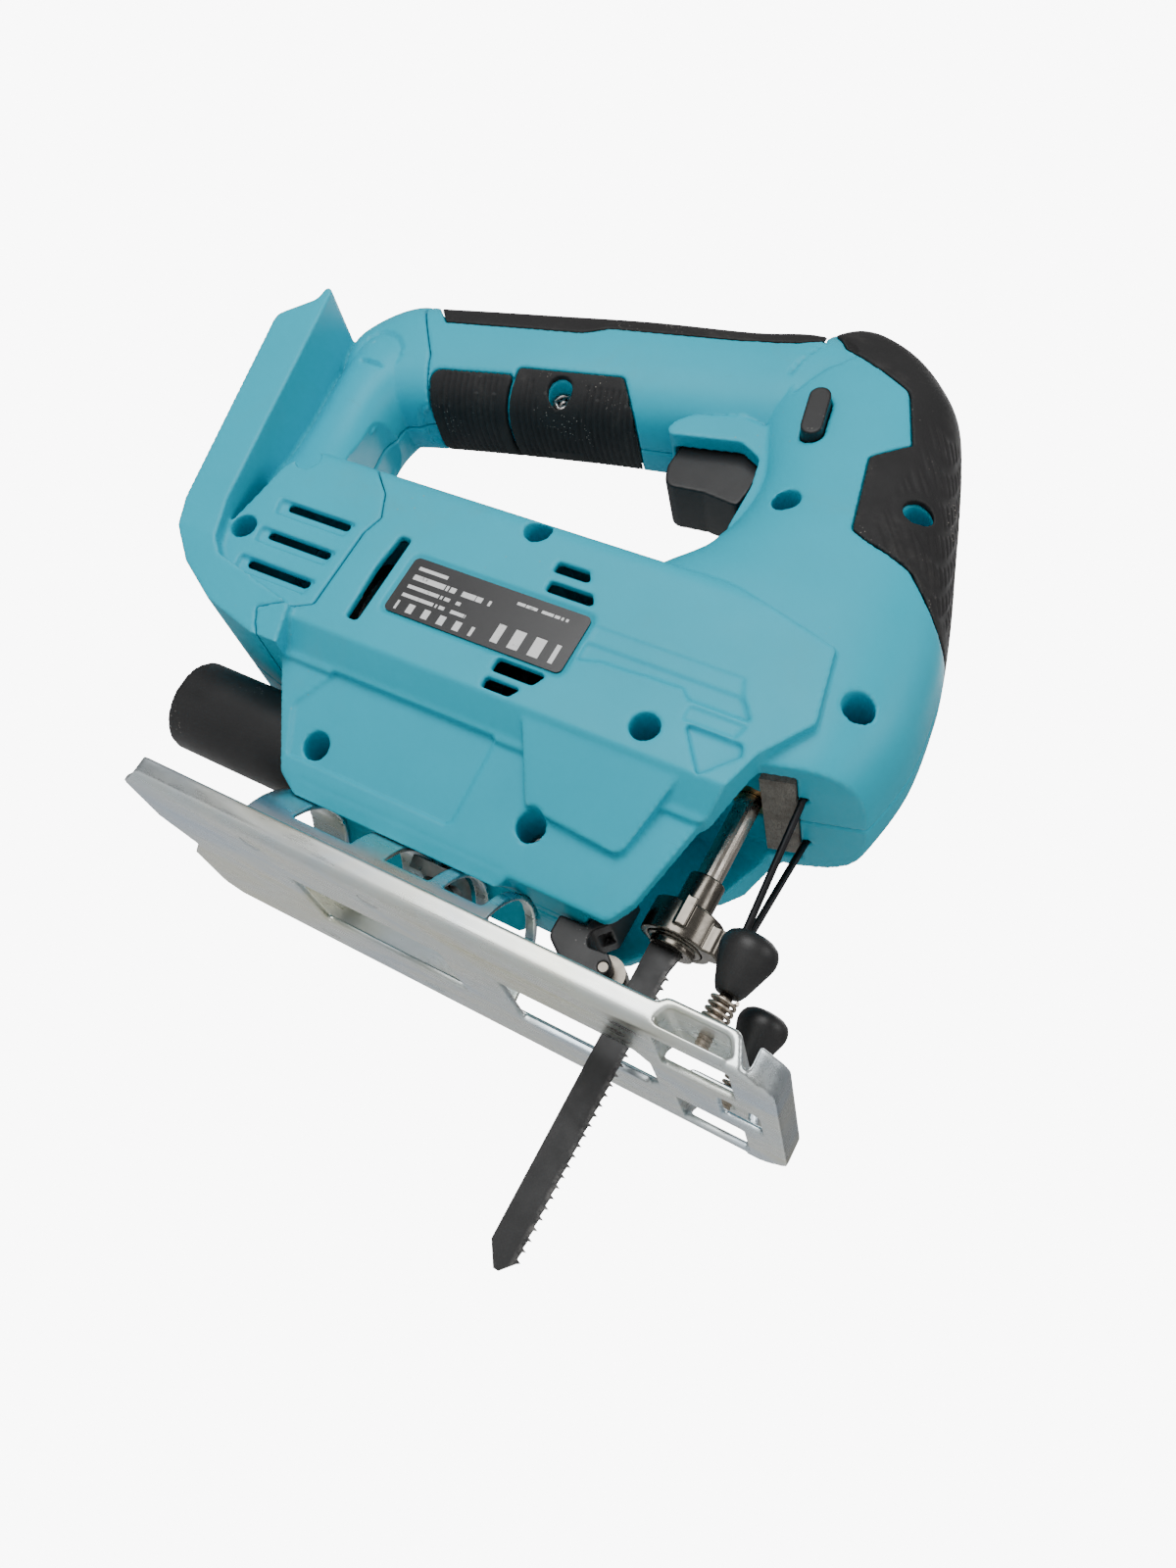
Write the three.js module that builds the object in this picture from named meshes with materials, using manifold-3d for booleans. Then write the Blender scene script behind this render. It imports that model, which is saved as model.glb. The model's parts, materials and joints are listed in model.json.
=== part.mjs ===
import * as THREE from "three";
import { mergeVertices } from "three/addons/utils/BufferGeometryUtils.js";
import Module from "manifold-3d";

const wasm = await Module();
wasm.setup();

// A cordless D-handle jigsaw, in millimetres: +X is the cutting direction, +Y is the tool's left, +Z is up.
// The underside of the base plate is Z = 0, and the middle plane of the blade is Y = 0.

// ---- Clearances -------------------------------------------------------------------------------
const FIT = 0.3; // between neighbours that touch on the real tool
const SLIDE = 0.25; // around anything that slides or turns in a bore
const SEAM = 0.15; // half of the parting line between two mouldings
const WALL = 2.6; // wall of the plastic housing
const TINY = 0.03; // flattest facet that is kept

// Everything below is laid out from the middle of the plate's side lips. The frame's origin stands this
// far ahead of it, on the bridge between the two windows of the base.
const ORIGIN_X = 20;

// ---- Base plate -------------------------------------------------------------------------------
const BASE_REAR = -78;
const BASE_FRONT = 97;
const BASE_HALF = 38;
const SHEET = 2;
const LIP_HEIGHT = 6.5;
const LIP_REAR = -72;
const LIP_FRONT = 72;
const WINDOW_HALF = 14;
const FENCE_X = 78.4;
const FENCE_Y = 26;
const FENCE_ARCH = 8.5; // half length of the arch over the fence bar
const FENCE_RISE = 6.2;
const STEM_R = 1.7;
const COIL_R = 2.7;
const COIL_WIRE_R = 0.45;

// ---- Bevel arch -------------------------------------------------------------------------------
const ARCH_R = 24;
const ARCH_SHEET = 1.5;
const ARCH_REAR = -50;
const ARCH_FRONT = 21;
const ARCH_FOOT = 34;
const ARCH_SLOT_ANGLE = 57; // half angle of the openings, measured from straight up
const ARCH_SLOTS = [[-38, -20], [-10, 3], [7, 18]];
const RIVET_XS = [-38, -3];
const RIVET_Y = 29;
const RIVET_R = 2.6;
const RIVET_HEAD_R = 3;
const RIVET_TOP = 4.3;

// ---- Housing ----------------------------------------------------------------------------------
const BODY_HALF = 31.5;
const BODY_TOP = 110;
const BODY_LOW = 58;
const SKIRT_Z = 19.6;
const SKIRT_HALF = 14.4;
const NOSE_FLOOR = 68;
const FLOOR_BREAK = 61; // where the underside of the nose starts to climb
const FLOOR_CLIMB = 0.24;
const FELT_REAR = FLOOR_BREAK;
const FELT_FRONT = 69;
const FELT_HALF = 19;
const WIRE_R = 0.9;
const GUARD_X = 70.6;
const GUARD_HALF = 11.5;
const SLAB_HALF = 36;
const GRIP_SKIN = 1.8;
const RAIL_HALF = 29; // half width of the battery bay
const CLAMP_BOLT_X = -3.5;

// ---- Blade, plunger and clamp -----------------------------------------------------------------
const PLUNGER_X = 56.5;
const PLUNGER_R = 3.2;
const PLUNGER_LOW = 40;
const PLUNGER_TOP = 128;
const CRANK_THROW = 10; // half of the stroke
const CRANK_DROP = 4; // how far below mid-stroke the plunger rests
const BLADE_REAR = 51.3;
const BLADE_WIDE = 8;
const BLADE_THICK = 1.3;
const BLADE_TIP = -52.7;
const TOOTH_PITCH = 2.5;
const CLAMP_LOW = 29;
const CLAMP_R = 6.8;
const COLLAR_R = 8.9;
const BLADE_TOP = 39.4;

// ---- Motor and gears --------------------------------------------------------------------------
const MOTOR_Z = 79;
const MOTOR_R = 18.4;
const MOTOR_REAR = -58;
const MOTOR_FRONT = -10;
const MODULE = 1;
const PINION_TEETH = 8;
const GEAR_TEETH = 32;
const GEAR_Z = MOTOR_Z + (MODULE * (PINION_TEETH + GEAR_TEETH)) / 2;
const GEAR_REAR = 21;
const GEAR_FRONT = 29;
const YOKE_REAR = 44;
const CRANK_PIN_R = 2.8;

// ---- Dust port --------------------------------------------------------------------------------
const PORT_R = 13;
const PORT_Z = 35.6;
const PORT_REAR = -97;
const PORT_FRONT = -52;

// ---- Materials --------------------------------------------------------------------------------
const paint = (color, roughness, metalness) => new THREE.MeshStandardMaterial({ color, roughness, metalness });
const TURQUOISE = paint(0x4fb9ce, 0.5, 0);
const RUBBER = paint(0x2a2a2c, 0.85, 0);
const BLACK = paint(0x232325, 0.6, 0);
const ZINC = paint(0xc3c8c6, 0.3, 1);
const STEEL = paint(0x8b8884, 0.35, 1);
const DARK_STEEL = paint(0x2b2b2d, 0.45, 0.8);
const ALUMINIUM = paint(0xb4b6b8, 0.4, 1);
const BRASS = paint(0xc69b52, 0.35, 1);
const FELT = paint(0x9a938a, 0.95, 0);

// ---- Solids -----------------------------------------------------------------------------------
function solid(geometry) {
  const bare = geometry.clone();
  bare.deleteAttribute("normal");
  if (bare.getAttribute("uv")) bare.deleteAttribute("uv");
  const merged = mergeVertices(bare, 1e-4);
  const triVerts = new Uint32Array(merged.index.array);
  const vertProperties = new Float32Array(merged.attributes.position.array);
  return new wasm.Manifold(new wasm.Mesh({ numProp: 3, vertProperties, triVerts }));
}
const cut = (from, ...tools) => tools.reduce((left, tool) => left.subtract(tool), from);
const join = (first, ...others) => others.reduce((whole, other) => whole.add(other), first);
const common = (first, ...others) => others.reduce((whole, other) => whole.intersect(other), first);

function geometryOf(made) {
  const mesh = made.simplify(TINY).getMesh();
  const geometry = new THREE.BufferGeometry();
  geometry.setAttribute("position", new THREE.BufferAttribute(new Float32Array(mesh.vertProperties), 3));
  geometry.setIndex(new THREE.BufferAttribute(new Uint32Array(mesh.triVerts), 1));
  geometry.computeVertexNormals();
  return geometry;
}

const group = new THREE.Group();
function part(name, made, material) {
  const mesh = new THREE.Mesh(made.isBufferGeometry ? made : geometryOf(made), material);
  mesh.name = name;
  mesh.position.x = -ORIGIN_X;
  group.add(mesh);
}

// ---- Outlines ---------------------------------------------------------------------------------
// A closed outline. A third number on a corner rounds it with that radius.
function outline(corners, steps = 4) {
  const shape = new THREE.Shape();
  const points = [];
  corners.forEach((corner, i) => {
    const here = new THREE.Vector2(corner[0], corner[1]);
    if (!corner[2]) {
      points.push(here);
      return;
    }
    const before = corners[(i + corners.length - 1) % corners.length];
    const after = corners[(i + 1) % corners.length];
    const toBefore = new THREE.Vector2(before[0], before[1]).sub(here).normalize();
    const toAfter = new THREE.Vector2(after[0], after[1]).sub(here).normalize();
    const half = Math.acos(THREE.MathUtils.clamp(toBefore.dot(toAfter), -1, 1)) / 2;
    const back = corner[2] / Math.tan(half);
    const middle = toBefore.clone().add(toAfter).normalize().multiplyScalar(corner[2] / Math.sin(half)).add(here);
    const start = toBefore.clone().multiplyScalar(back).add(here).sub(middle);
    const end = toAfter.clone().multiplyScalar(back).add(here).sub(middle);
    const turn = Math.atan2(start.cross(end), start.dot(end));
    for (let k = 0; k <= steps; k++) {
      points.push(start.clone().rotateAround(new THREE.Vector2(), (turn * k) / steps).add(middle));
    }
  });
  shape.setFromPoints(points);
  return shape;
}
const circle = (x, y, r) => new THREE.Shape().absarc(x, y, r, 0, Math.PI * 2);
const extruded = (shape, depth, curveSegments) =>
  new THREE.ExtrudeGeometry(shape, { depth, bevelEnabled: false, curveSegments });

// Prisms: an outline in one plane, pushed along the third axis from low to high.
const ALONG_X = new THREE.Matrix4().makeBasis(
  new THREE.Vector3(0, 1, 0), new THREE.Vector3(0, 0, 1), new THREE.Vector3(1, 0, 0));
const ALONG_Y = new THREE.Matrix4().makeRotationX(Math.PI / 2);
const prismX = (corners, low, high, steps) =>
  solid(extruded(outline(corners, steps), high - low).applyMatrix4(ALONG_X).translate(low, 0, 0));
const prismY = (corners, low, high, steps) =>
  solid(extruded(outline(corners, steps), high - low).applyMatrix4(ALONG_Y).translate(0, high, 0));
const prismZ = (corners, low, high, steps) =>
  solid(extruded(outline(corners, steps), high - low).translate(0, 0, low));
const box = (x0, x1, y0, y1, z0, z1) => prismZ([[x0, y0], [x1, y0], [x1, y1], [x0, y1]], z0, z1);

// Round bars and tubes along each axis.
const rodX = (x0, x1, y, z, r, sides = 24) =>
  solid(extruded(circle(y, z, r), x1 - x0, sides / 2).applyMatrix4(ALONG_X).translate(x0, 0, 0));
const rodY = (y0, y1, x, z, r, sides = 24) =>
  solid(extruded(circle(x, z, r), y1 - y0, sides / 2).applyMatrix4(ALONG_Y).translate(0, y1, 0));
const rodZ = (z0, z1, x, y, r, sides = 24) =>
  solid(extruded(circle(x, y, r), z1 - z0, sides / 2).translate(0, 0, z0));

// A body skinned over cross-sections of the same kind, each a rounded rectangle drawn as a superellipse.
// A section is { at, u, v, a, b, n }: centre, two unit axes, two half sizes and squareness.
function loft(sections, count = 32) {
  const positions = [];
  sections.forEach(({ at, u, v, a, b, n }) => {
    for (let k = 0; k < count; k++) {
      const angle = (2 * Math.PI * (k + 0.5)) / count;
      const across = a * Math.sign(Math.cos(angle)) * Math.abs(Math.cos(angle)) ** (2 / n);
      const up = b * Math.sign(Math.sin(angle)) * Math.abs(Math.sin(angle)) ** (2 / n);
      positions.push(...[0, 1, 2].map((i) => at[i] + u[i] * across + v[i] * up));
    }
  });
  const index = [];
  for (let s = 0; s + 1 < sections.length; s++) {
    for (let k = 0; k < count; k++) {
      const p = s * count + k;
      const q = s * count + ((k + 1) % count);
      index.push(p, q, q + count, p, q + count, p + count);
    }
  }
  const last = (sections.length - 1) * count;
  for (let k = 1; k + 1 < count; k++) {
    index.push(0, k + 1, k);
    index.push(last, last + k, last + k + 1);
  }
  const geometry = new THREE.BufferGeometry();
  geometry.setAttribute("position", new THREE.Float32BufferAttribute(positions, 3));
  geometry.setIndex(index);
  return solid(geometry);
}

// ---- Housing shape ----------------------------------------------------------------------------
const LOWER_OUTLINE = [
  [-45, SKIRT_Z, 3], [16, SKIRT_Z, 1], [18, 23], [44.5, 23, 3], [48.5, 29], [60.3, NOSE_FLOOR], [62, 84], [-80, 84],
  [-68.6, 53.5], [-51.5, 23.5, 2],
];
const MOTOR_OUTLINE = [
  [-64, 50, 2], [56, 50, 3], [61.5, NOSE_FLOOR], [70, 80], [66, 100], [30, BODY_TOP, 6], [-90, BODY_TOP, 5],
  [-97, 100, 4], [-103, 62, 8], [-84, 53, 6],
];
const REAR_OUTLINE = [
  [-64, 49.5], [-66, 60], [-94, 66], [-98, 70], [-102.6, 82], [-119, 160, 2], [-121.5, 160.5, 1], [-122, 155, 2],
  [-131, 146, 4], [-115, 78], [-111, 69, 5], [-103, 61, 6], [-90, 53.5, 6], [-73, 49.5, 4],
];
const GAP_OUTLINE = [
  [-93, 112, 9], [6, 111, 8], [22.5, 123, 4], [21.5, 140], [19.6, 152], [19.4, 163], [-4, 163, 2], [-89, 149, 9], [-97, 136, 8],
];

// Half of the cross-section of the motor body and, below it, of the tapering gear housing.
const mirrored = (half) => [...half, ...half.map(([y, z, r]) => [-y, z, r]).reverse()];
const lowerSection = (grow) => mirrored([
  [SKIRT_HALF + grow, SKIRT_Z - 6 + grow], [SKIRT_HALF + grow, SKIRT_Z + 0.5], [SKIRT_HALF + 1.6 + grow, 24],
  [28.6 + grow, 70], [29.6 + grow, 84],
]);
const motorSection = (grow) => mirrored([
  [24.6 + grow, 50 - grow], [25.4 + grow, 52 - grow, 1], [BODY_HALF + grow, BODY_LOW, 1.5],
  [BODY_HALF + grow, BODY_TOP + grow, 5],
]);
const NOSE_SECTIONS = [
  [NOSE_FLOOR, 42, 82, 26.5, 3.2], [76, 34, 85.4, 28.2, 3.2], [92, 14, 88.4, 30, 3.1], [110, 6, 87.2, 29.4, 3],
  [122, 14, 84.8, 28.2, 2.9], [135, 20, 81.2, 26.8, 2.8], [150, 21, 76.4, 25, 2.8], [165, 15, 71.6, 23.4, 2.8],
  [180, 8, 66.4, 21.9, 2.7], [192, 6, 61.2, 20.1, 2.6], [201, 9, 54.4, 17.4, 2.4], [208.5, 13, 46.4, 13.8, 2.3],
  [214, 17, 37.4, 9.8, 2.2], [217.5, 21, 31, 5.6, 2],
];
const noseFloor = (x, up) => NOSE_FLOOR + up + FLOOR_CLIMB * Math.max(0, x - FLOOR_BREAK);
const nose = (inset) => loft(NOSE_SECTIONS.map(([z, rear, front, half, n], i) => ({
  at: [(rear + front) / 2, 0, i === NOSE_SECTIONS.length - 1 ? z - inset : z],
  u: [1, 0, 0], v: [0, 1, 0], a: (front - rear) / 2 - inset, b: half - inset, n,
})), 28);

// The handle beam leans: its sections stand square to a line that climbs towards the nose.
const BEAM_SECTIONS = [
  [-121, 153, 6, 11], [-117, 157, 14, 16], [-106, 163, 20.6, 18], [-92, 167, 20.4, 18], [-60, 174, 20.2, 18],
  [-30, 180, 20.4, 18], [0, 184.6, 20.2, 18.4], [20, 187.4, 21.2, 19.5], [40, 186, 19.4, 18],
];
const LEAN = 0.17;
const beam = (inset) => loft(BEAM_SECTIONS.map(([x, z, high, wide]) => ({
  at: [x, 0, z], u: [0, 1, 0], v: [-Math.sin(LEAN), 0, Math.cos(LEAN)], a: wide - inset, b: high - inset, n: 2.7,
})), 24);
const column = () => loft([[98, -99, 26, 23], [110, -101, 20, 20], [126, -105, 16, 17.5], [142, -107, 15, 17.5],
  [158, -106, 18, 18], [168, -106, 14, 16]].map(([z, x, long, wide]) => ({
  at: [x, 0, z], u: [1, 0, 0], v: [0, 1, 0], a: long / 1.25, b: wide, n: 2.6,
})), 16);
const bodyShape = () => join(
  common(prismY(LOWER_OUTLINE, -40, 40), prismX(lowerSection(0), -90, 90)),
  common(prismY(MOTOR_OUTLINE, -40, 40), prismX(motorSection(0), -120, 90)),
  common(prismY(REAR_OUTLINE, -SLAB_HALF, SLAB_HALF),
    prismX(mirrored([[10, 40], [30, 40, 6], [SLAB_HALF, 70, 8], [SLAB_HALF, 166, 6]]), -140, 0)),
  frontPanel(), column(), beam(0), cut(nose(0), underNose()));
const underNose = () => across([[FLOOR_BREAK, NOSE_FLOOR - 9], [100, NOSE_FLOOR - 9], [100, noseFloor(100, 0)],
  [FLOOR_BREAK, NOSE_FLOOR]]);

// The raised panel on each side of the gear housing follows the taper and stands a little proud of it.
const frontPanel = () => common(
  prismY([[3.6, 61], [17, 75.5, 1], [38, 76.5, 2], [48.6, 60, 1], [41.5, 36.5, 3], [15.4, 38.5, 2]], -40, 40),
  prismX(mirrored([[19.4, 30], [23.2, 40], [BODY_HALF, 60, 1], [BODY_HALF, 84]]), -10, 60));

// ---- Housing hollows --------------------------------------------------------------------------
const motorRoom = () => common(
  prismY([[-44, SKIRT_Z + 7], [34, SKIRT_Z + 7], [34, 70], [40, 76], [44, 128], [30, 128], [16, 107], [-88, 107],
    [-94, 98], [-98, 66], [-84, 57], [-64, 54]], -40, 40),
  prismX(mirrored([[12, 20], [13.4, 25], [21.2, 53], [BODY_HALF - WALL, 61], [BODY_HALF - WALL, 100, 4],
    [20, 107], [20, 130]]), -110, 60));
const ribAt = (x) => cut(box(x, x + 2.5, -40, 40, 50, 112), rodX(x - 1, x + 4, 0, MOTOR_Z, MOTOR_R + FIT, 28));
const handleRoom = () => join(
  loft(BEAM_SECTIONS.slice(1, 8).map(([x, z, high, wide]) => ({
    at: [x, 0, z], u: [0, 1, 0], v: [-Math.sin(LEAN), 0, Math.cos(LEAN)], a: wide - 5, b: high - 5.4, n: 2.7,
  })), 24),
  prismY([[-112, 90], [-98, 100], [-101, 110], [-101, 146], [-99, 160], [-116, 150], [-116, 112]], -12, 12));
const slabRoom = () => prismY([
  [-136, 140], [-128, 143], [-119.5, 143], [-105.8, 80], [-104, 75], [-122, 60], [-140, 60]], -RAIL_HALF, RAIL_HALF);
const rail = (side) => sidePrism([[-127.4, 139], [-124, 139], [-110.6, 82], [-114, 82]], side, RAIL_HALF - 3, RAIL_HALF + 1);

// The mouth under the nose: the plunger, the clamp and the roller sit between the two side walls.
const mouth = () => common(
  prismY([[37, 12], [90, 12], [90, noseFloor(90, 0)], [FELT_FRONT + FIT, noseFloor(FELT_FRONT + FIT, 0)],
    [FELT_FRONT + FIT, noseFloor(FELT_FRONT + FIT, 2.4)], [FLOOR_BREAK, NOSE_FLOOR + 2.4], [40, NOSE_FLOOR + 2.4]], -40, 40),
  prismX(mirrored([[12.2, 10], [12.2, 24], [22.8, 65], [21.8, NOSE_FLOOR + 1], [21.8, 80]]), 20, 95));
const bevelChannel = () => rodX(-70, 22, 0, 0, ARCH_R + SLIDE + 0.1, 48);
const clampBore = () => rodZ(20, 46, CLAMP_BOLT_X, 0, 2.6, 20);
const portBore = () => rodX(-110, PORT_FRONT + 2, 0, PORT_Z, PORT_R + FIT, 36);

// ---- Vents and recesses, the same on both sides -----------------------------------------------
const VENT_ZS = [88, 78, 68];
const both = (make) => join(make(-1), make(1));
function sidePrism(corners, side, low, high) {
  return side < 0 ? prismY(corners, -high, -low) : prismY(corners, low, high);
}
const ventCuts = (side) => join(
  ...VENT_ZS.map((z) => sidePrism([[-90, z - 3], [-66, z - 3], [-65, z + 2], [-91, z + 2]], side, BODY_HALF - 1.4, 40)),
  ...VENT_ZS.map((z) => sidePrism([[-88, z - 0.4], [-67, z - 0.4], [-67, z + 1.8], [-88, z + 1.8]], side, 24, 40)),
  sidePrism([[-51, 63.5], [-47.4, 63.5], [-47.4, 91], [-51, 91], [-52, 80]], side, 20, 40),
  ...[[97, 1.7, -7, 2], [91.2, 1.7, -6, 6], [66, 2, -7, 7], [60.6, 1.6, -7, 3]].map(([z, h, x0, x1]) =>
    sidePrism([[x0, z - h], [x1 + (z > 78 ? 2 : -2), z - h], [x1, z + h], [x0, z + h]], side, 20, 40)));
const stripeCuts = (side) => join(
  sidePrism([[11, 80.2], [52.6, 80.2], [50.6, 85], [11, 85]], side, BODY_HALF - 0.45, 40),
  sidePrism([[11, 74.4], [17, 76], [38.6, 77], [41, 74.6], [57, 74.6], [52.6, 80.2], [11, 80.2]],
    side, BODY_HALF - 1.1, 40),
  sidePrism([[42, 69.4], [55.4, 69.4], [56.6, 73.6], [42, 73.6]], side, BODY_HALF - 0.6, 40),
  sidePrism([[43, 69], [57.6, 69], [58.6, 66], [51.4, 58], [49.6, 60.4]], side, BODY_HALF - 1.7, 40),
  lowerRecess(side),
  sidePrism([[-46, 23.4], [16, 23.4], [17, 24.4], [-46, 24.4]], side, 14.9, 40));
// The flat field on the rear half of the lower housing, set back by a step.
const lowerRecess = (side) => cut(sidePrism([[-52, 28], [-1, 28, 2], [0.6, 51], [-49, 51], [-57, 40]], side, 12, 30),
  prismX(lowerSection(-0.8), -90, 90));
const LABEL = { x0: -43, x1: 9.5, z0: 69.4, z1: 86.6, deep: 0.9 };
const labelRecess = (side) => sidePrism([
  [LABEL.x0 - 1.2, LABEL.z0 - 1.2, 2.5], [LABEL.x1 + 1.2, LABEL.z0 - 1.2, 2.5],
  [LABEL.x1 + 1.2, LABEL.z1 + 1.2, 2.5], [LABEL.x0 - 1.2, LABEL.z1 + 1.2, 2.5]], side, BODY_HALF - LABEL.deep, 40);

// ---- Housing screws ---------------------------------------------------------------------------
// Each is [name, x, z, depth of the head seat from the middle plane].
const SCREWS = [
  ["screw_rear", -96, 78, 13], ["screw_skirt", -45.5, 33, 4.5], ["screw_gear", 35, 64.6, 14],
  ["screw_panel", 18, 35.5, 4.5], ["screw_nose", 75.6, 90, 6], ["screw_front_grip", 66, 149, 5],
  ["screw_trigger", 35, 140.5, 8], ["screw_handle", -46, 162.5, 7.5], ["screw_top_rear", -92, 104.6, 13],
  ["screw_top_mid", -17, 105.4, 15],
];
const HEAD_R = 3.3;
const HEAD_HIGH = 2.4;
const COUNTERBORE_R = 3.8;
const SHANK_R = 1.5;
const boss = ([, x, z]) => rodY(-40, 40, x, z, 5.2, 14);
const screwBore = ([, x, z, seat]) => join(
  rodY(-45, -seat, x, z, COUNTERBORE_R, 16), rodY(-seat - 1, 9, x, z, SHANK_R + FIT, 8));
const screw = ([, x, z, seat]) => cut(
  join(rodY(-seat - FIT - HEAD_HIGH, -seat - FIT, x, z, HEAD_R, 14), rodY(-seat - FIT - 0.5, 8.4, x, z, SHANK_R, 8)),
  box(x - 2, x + 2, -seat - FIT - HEAD_HIGH - 1, -seat - FIT - HEAD_HIGH + 1.2, z - 0.45, z + 0.45),
  box(x - 0.45, x + 0.45, -seat - FIT - HEAD_HIGH - 1, -seat - FIT - HEAD_HIGH + 1.2, z - 2, z + 2));

// ---- Grip regions, drawn on the side of the tool -----------------------------------------------
const NOSE_GRIP = [
  [13, 217], [26, 199, 2], [48.5, 187.5, 4], [56.5, 169, 1.5], [48.6, 160.5, 1.5], [54.5, 136, 2], [59, 134, 2],
  [71, 131, 6], [84, 120], [110, 112], [110, 240], [8, 240],
];
const TOP_GRIP = [[-104, 186], [-92.5, 174.4, 1], [-49, 182.6, 4], [-42, 187, 4], [13, 196.5, 2], [19, 200, 1],
  [8, 240], [-110, 240]];
const LOW_GRIP_FRONT = [[-60.6, 120], [-60.6, 165, 1], [-29, 171, 2], [-7, 143], [-7, 120]];
const LOW_GRIP_REAR = [[-61.6, 120], [-61.6, 162.4, 1], [-87.2, 156.8, 3], [-84.4, 146, 3], [-78, 137], [-78, 120]];
const across = (corners) => prismY(corners, -45, 45);
const skin = (corners, whole, inner) => cut(common(across(corners), whole), inner);
// The same outline with every edge moved outwards.
function grown(corners, by) {
  const size = corners.length;
  const area = corners.reduce((sum, [x, z], i) => {
    const next = corners[(i + 1) % size];
    return sum + x * next[1] - next[0] * z;
  }, 0);
  const out = by * Math.sign(area);
  const normal = ([x0, z0], [x1, z1]) => {
    const long = Math.hypot(x1 - x0, z1 - z0);
    return [(z1 - z0) / long, (x0 - x1) / long];
  };
  return corners.map((corner, i) => {
    const [ax, az] = normal(corners[(i + size - 1) % size], corner);
    const [bx, bz] = normal(corner, corners[(i + 1) % size]);
    const scale = out / (1 + ax * bx + az * bz);
    return [corner[0] + (ax + bx) * scale, corner[1] + (az + bz) * scale, corner[2]];
  });
}

// The parting line between the main housing and its rear end, which carries the battery rails.
const REAR_REGION = [
  [-150, 30], [-68, 30], [-66, 44], [-72.5, 52], [-74.6, 56.3], [-61.5, 63.4], [-61.5, 88], [-59.5, 94],
  [-63, 101.5], [-71, 109], [-71, 128], [-86, 150], [-90, 161], [-103, 178], [-106, 200], [-150, 200],
];
const rearRegion = (by) => across(REAR_REGION.map(([x, z]) => [x + (x > -149 ? by : 0), z]));

function housing() {
  const gripPocket = join(
    cut(across(grown(NOSE_GRIP, FIT)), nose(GRIP_SKIN + FIT)),
    cut(across(grown(TOP_GRIP, FIT)), beam(GRIP_SKIN + FIT)),
    cut(across(grown(LOW_GRIP_FRONT, FIT)), beam(GRIP_SKIN + FIT), box(-70, 0, -50, 50, 100, 121)),
    cut(across(grown(LOW_GRIP_REAR, FIT)), beam(GRIP_SKIN + FIT), box(-90, -50, -50, 50, 100, 121)));
  const rooms = cut(join(motorRoom(), handleRoom()), ribAt(-50), ribAt(-22), ...SCREWS.map(boss),
    rodZ(20, 48, CLAMP_BOLT_X, 0, 6, 20));
  return cut(join(cut(bodyShape(), across(GAP_OUTLINE)), triggerRim()), rooms, cut(slabRoom(), both(rail)), mouth(), bevelChannel(), keep(gripPocket), both(ventCuts), both(stripeCuts), labelRecess(-1), triggerPocket(), lockBore(), portBore(),
    clampBore(), gearRoom(), plungerBore(), guardBores(), ...SCREWS.map(screwBore));
}
// The grips replace only the skin of the handle and the nose, never the motor body below them.
const keep = (pocket) => cut(pocket, box(-150, 12, -50, 50, 0, 125));

// ---- Trigger, switch and lock button ------------------------------------------------------------
const TRIGGER_HALF = 9;
const TRIGGER_TRAVEL = 6;
const TRIGGER_REAR = -6.4;
const TRIGGER_FRONT = 18.6;
const TRIGGER_TOP = 170;
const TRIGGER = [[TRIGGER_REAR + 1, TRIGGER_TOP], [TRIGGER_REAR, 152, 3], [TRIGGER_REAR + 2, 145.4, 3.6], [7, 146.6, 6],
  [TRIGGER_FRONT - 0.8, 145.4, 1.5], [TRIGGER_FRONT, 152], [TRIGGER_FRONT - 0.6, TRIGGER_TOP]];
const triggerPocket = () => box(TRIGGER_REAR - 0.8, TRIGGER_FRONT + 0.8, -TRIGGER_HALF - 0.7, TRIGGER_HALF + 0.7,
  144, TRIGGER_TOP + TRIGGER_TRAVEL + 1.5);
// The rim that stands out of the handle round the trigger.
const triggerRim = () => prismY([[-9.6, 157, 2], [-9, 162.4, 3], [-5, 166.4, 4], [8, 170, 4], [17, 168.6, 5],
  [24.6, 161, 5], [27.6, 146], [28, 132], [21, 131], [21, 148, 3], [19, 158, 3], [12, 161.6, 3], [-5.6, 158.4, 2]],
-15, 15);
const LOCK = { x: 30.4, z: 169, lean: 0.2, half: 8, r: 2.9, reach: 26 };
function lockShape(grow, reach) {
  const bar = prismY([[-LOCK.r - grow, -LOCK.half - grow, LOCK.r], [LOCK.r + grow, -LOCK.half - grow, LOCK.r],
    [LOCK.r + grow, LOCK.half + grow, LOCK.r], [-LOCK.r - grow, LOCK.half + grow, LOCK.r]], -reach, reach);
  return bar.rotate([0, (LOCK.lean * 180) / Math.PI * -1, 0]).translate([LOCK.x, 0, LOCK.z]);
}
const lockBore = () => lockShape(SLIDE, 45);

// ---- Gear room and plunger bores ----------------------------------------------------------------
const gearRoom = () => join(
  box(19.5, 42, -19, 19, 76.5, 117),
  box(39, 51, -18, 18, 76.5, 122),
  box(50, 64, -9, 9, 76.5, 117));
const BUSH_R = 7;
const LOWER_BUSH = [71, 76];
const UPPER_BUSH = [118.6, 124.6];
const plungerBore = () => join(
  rodZ(70, 77, PLUNGER_X, 0, BUSH_R + FIT, 28), rodZ(116.5, 125, PLUNGER_X, 0, BUSH_R + FIT, 28),
  rodZ(124, PLUNGER_TOP + CRANK_THROW + CRANK_DROP + 3, PLUNGER_X, 0, PLUNGER_R + 1, 24));

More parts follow.
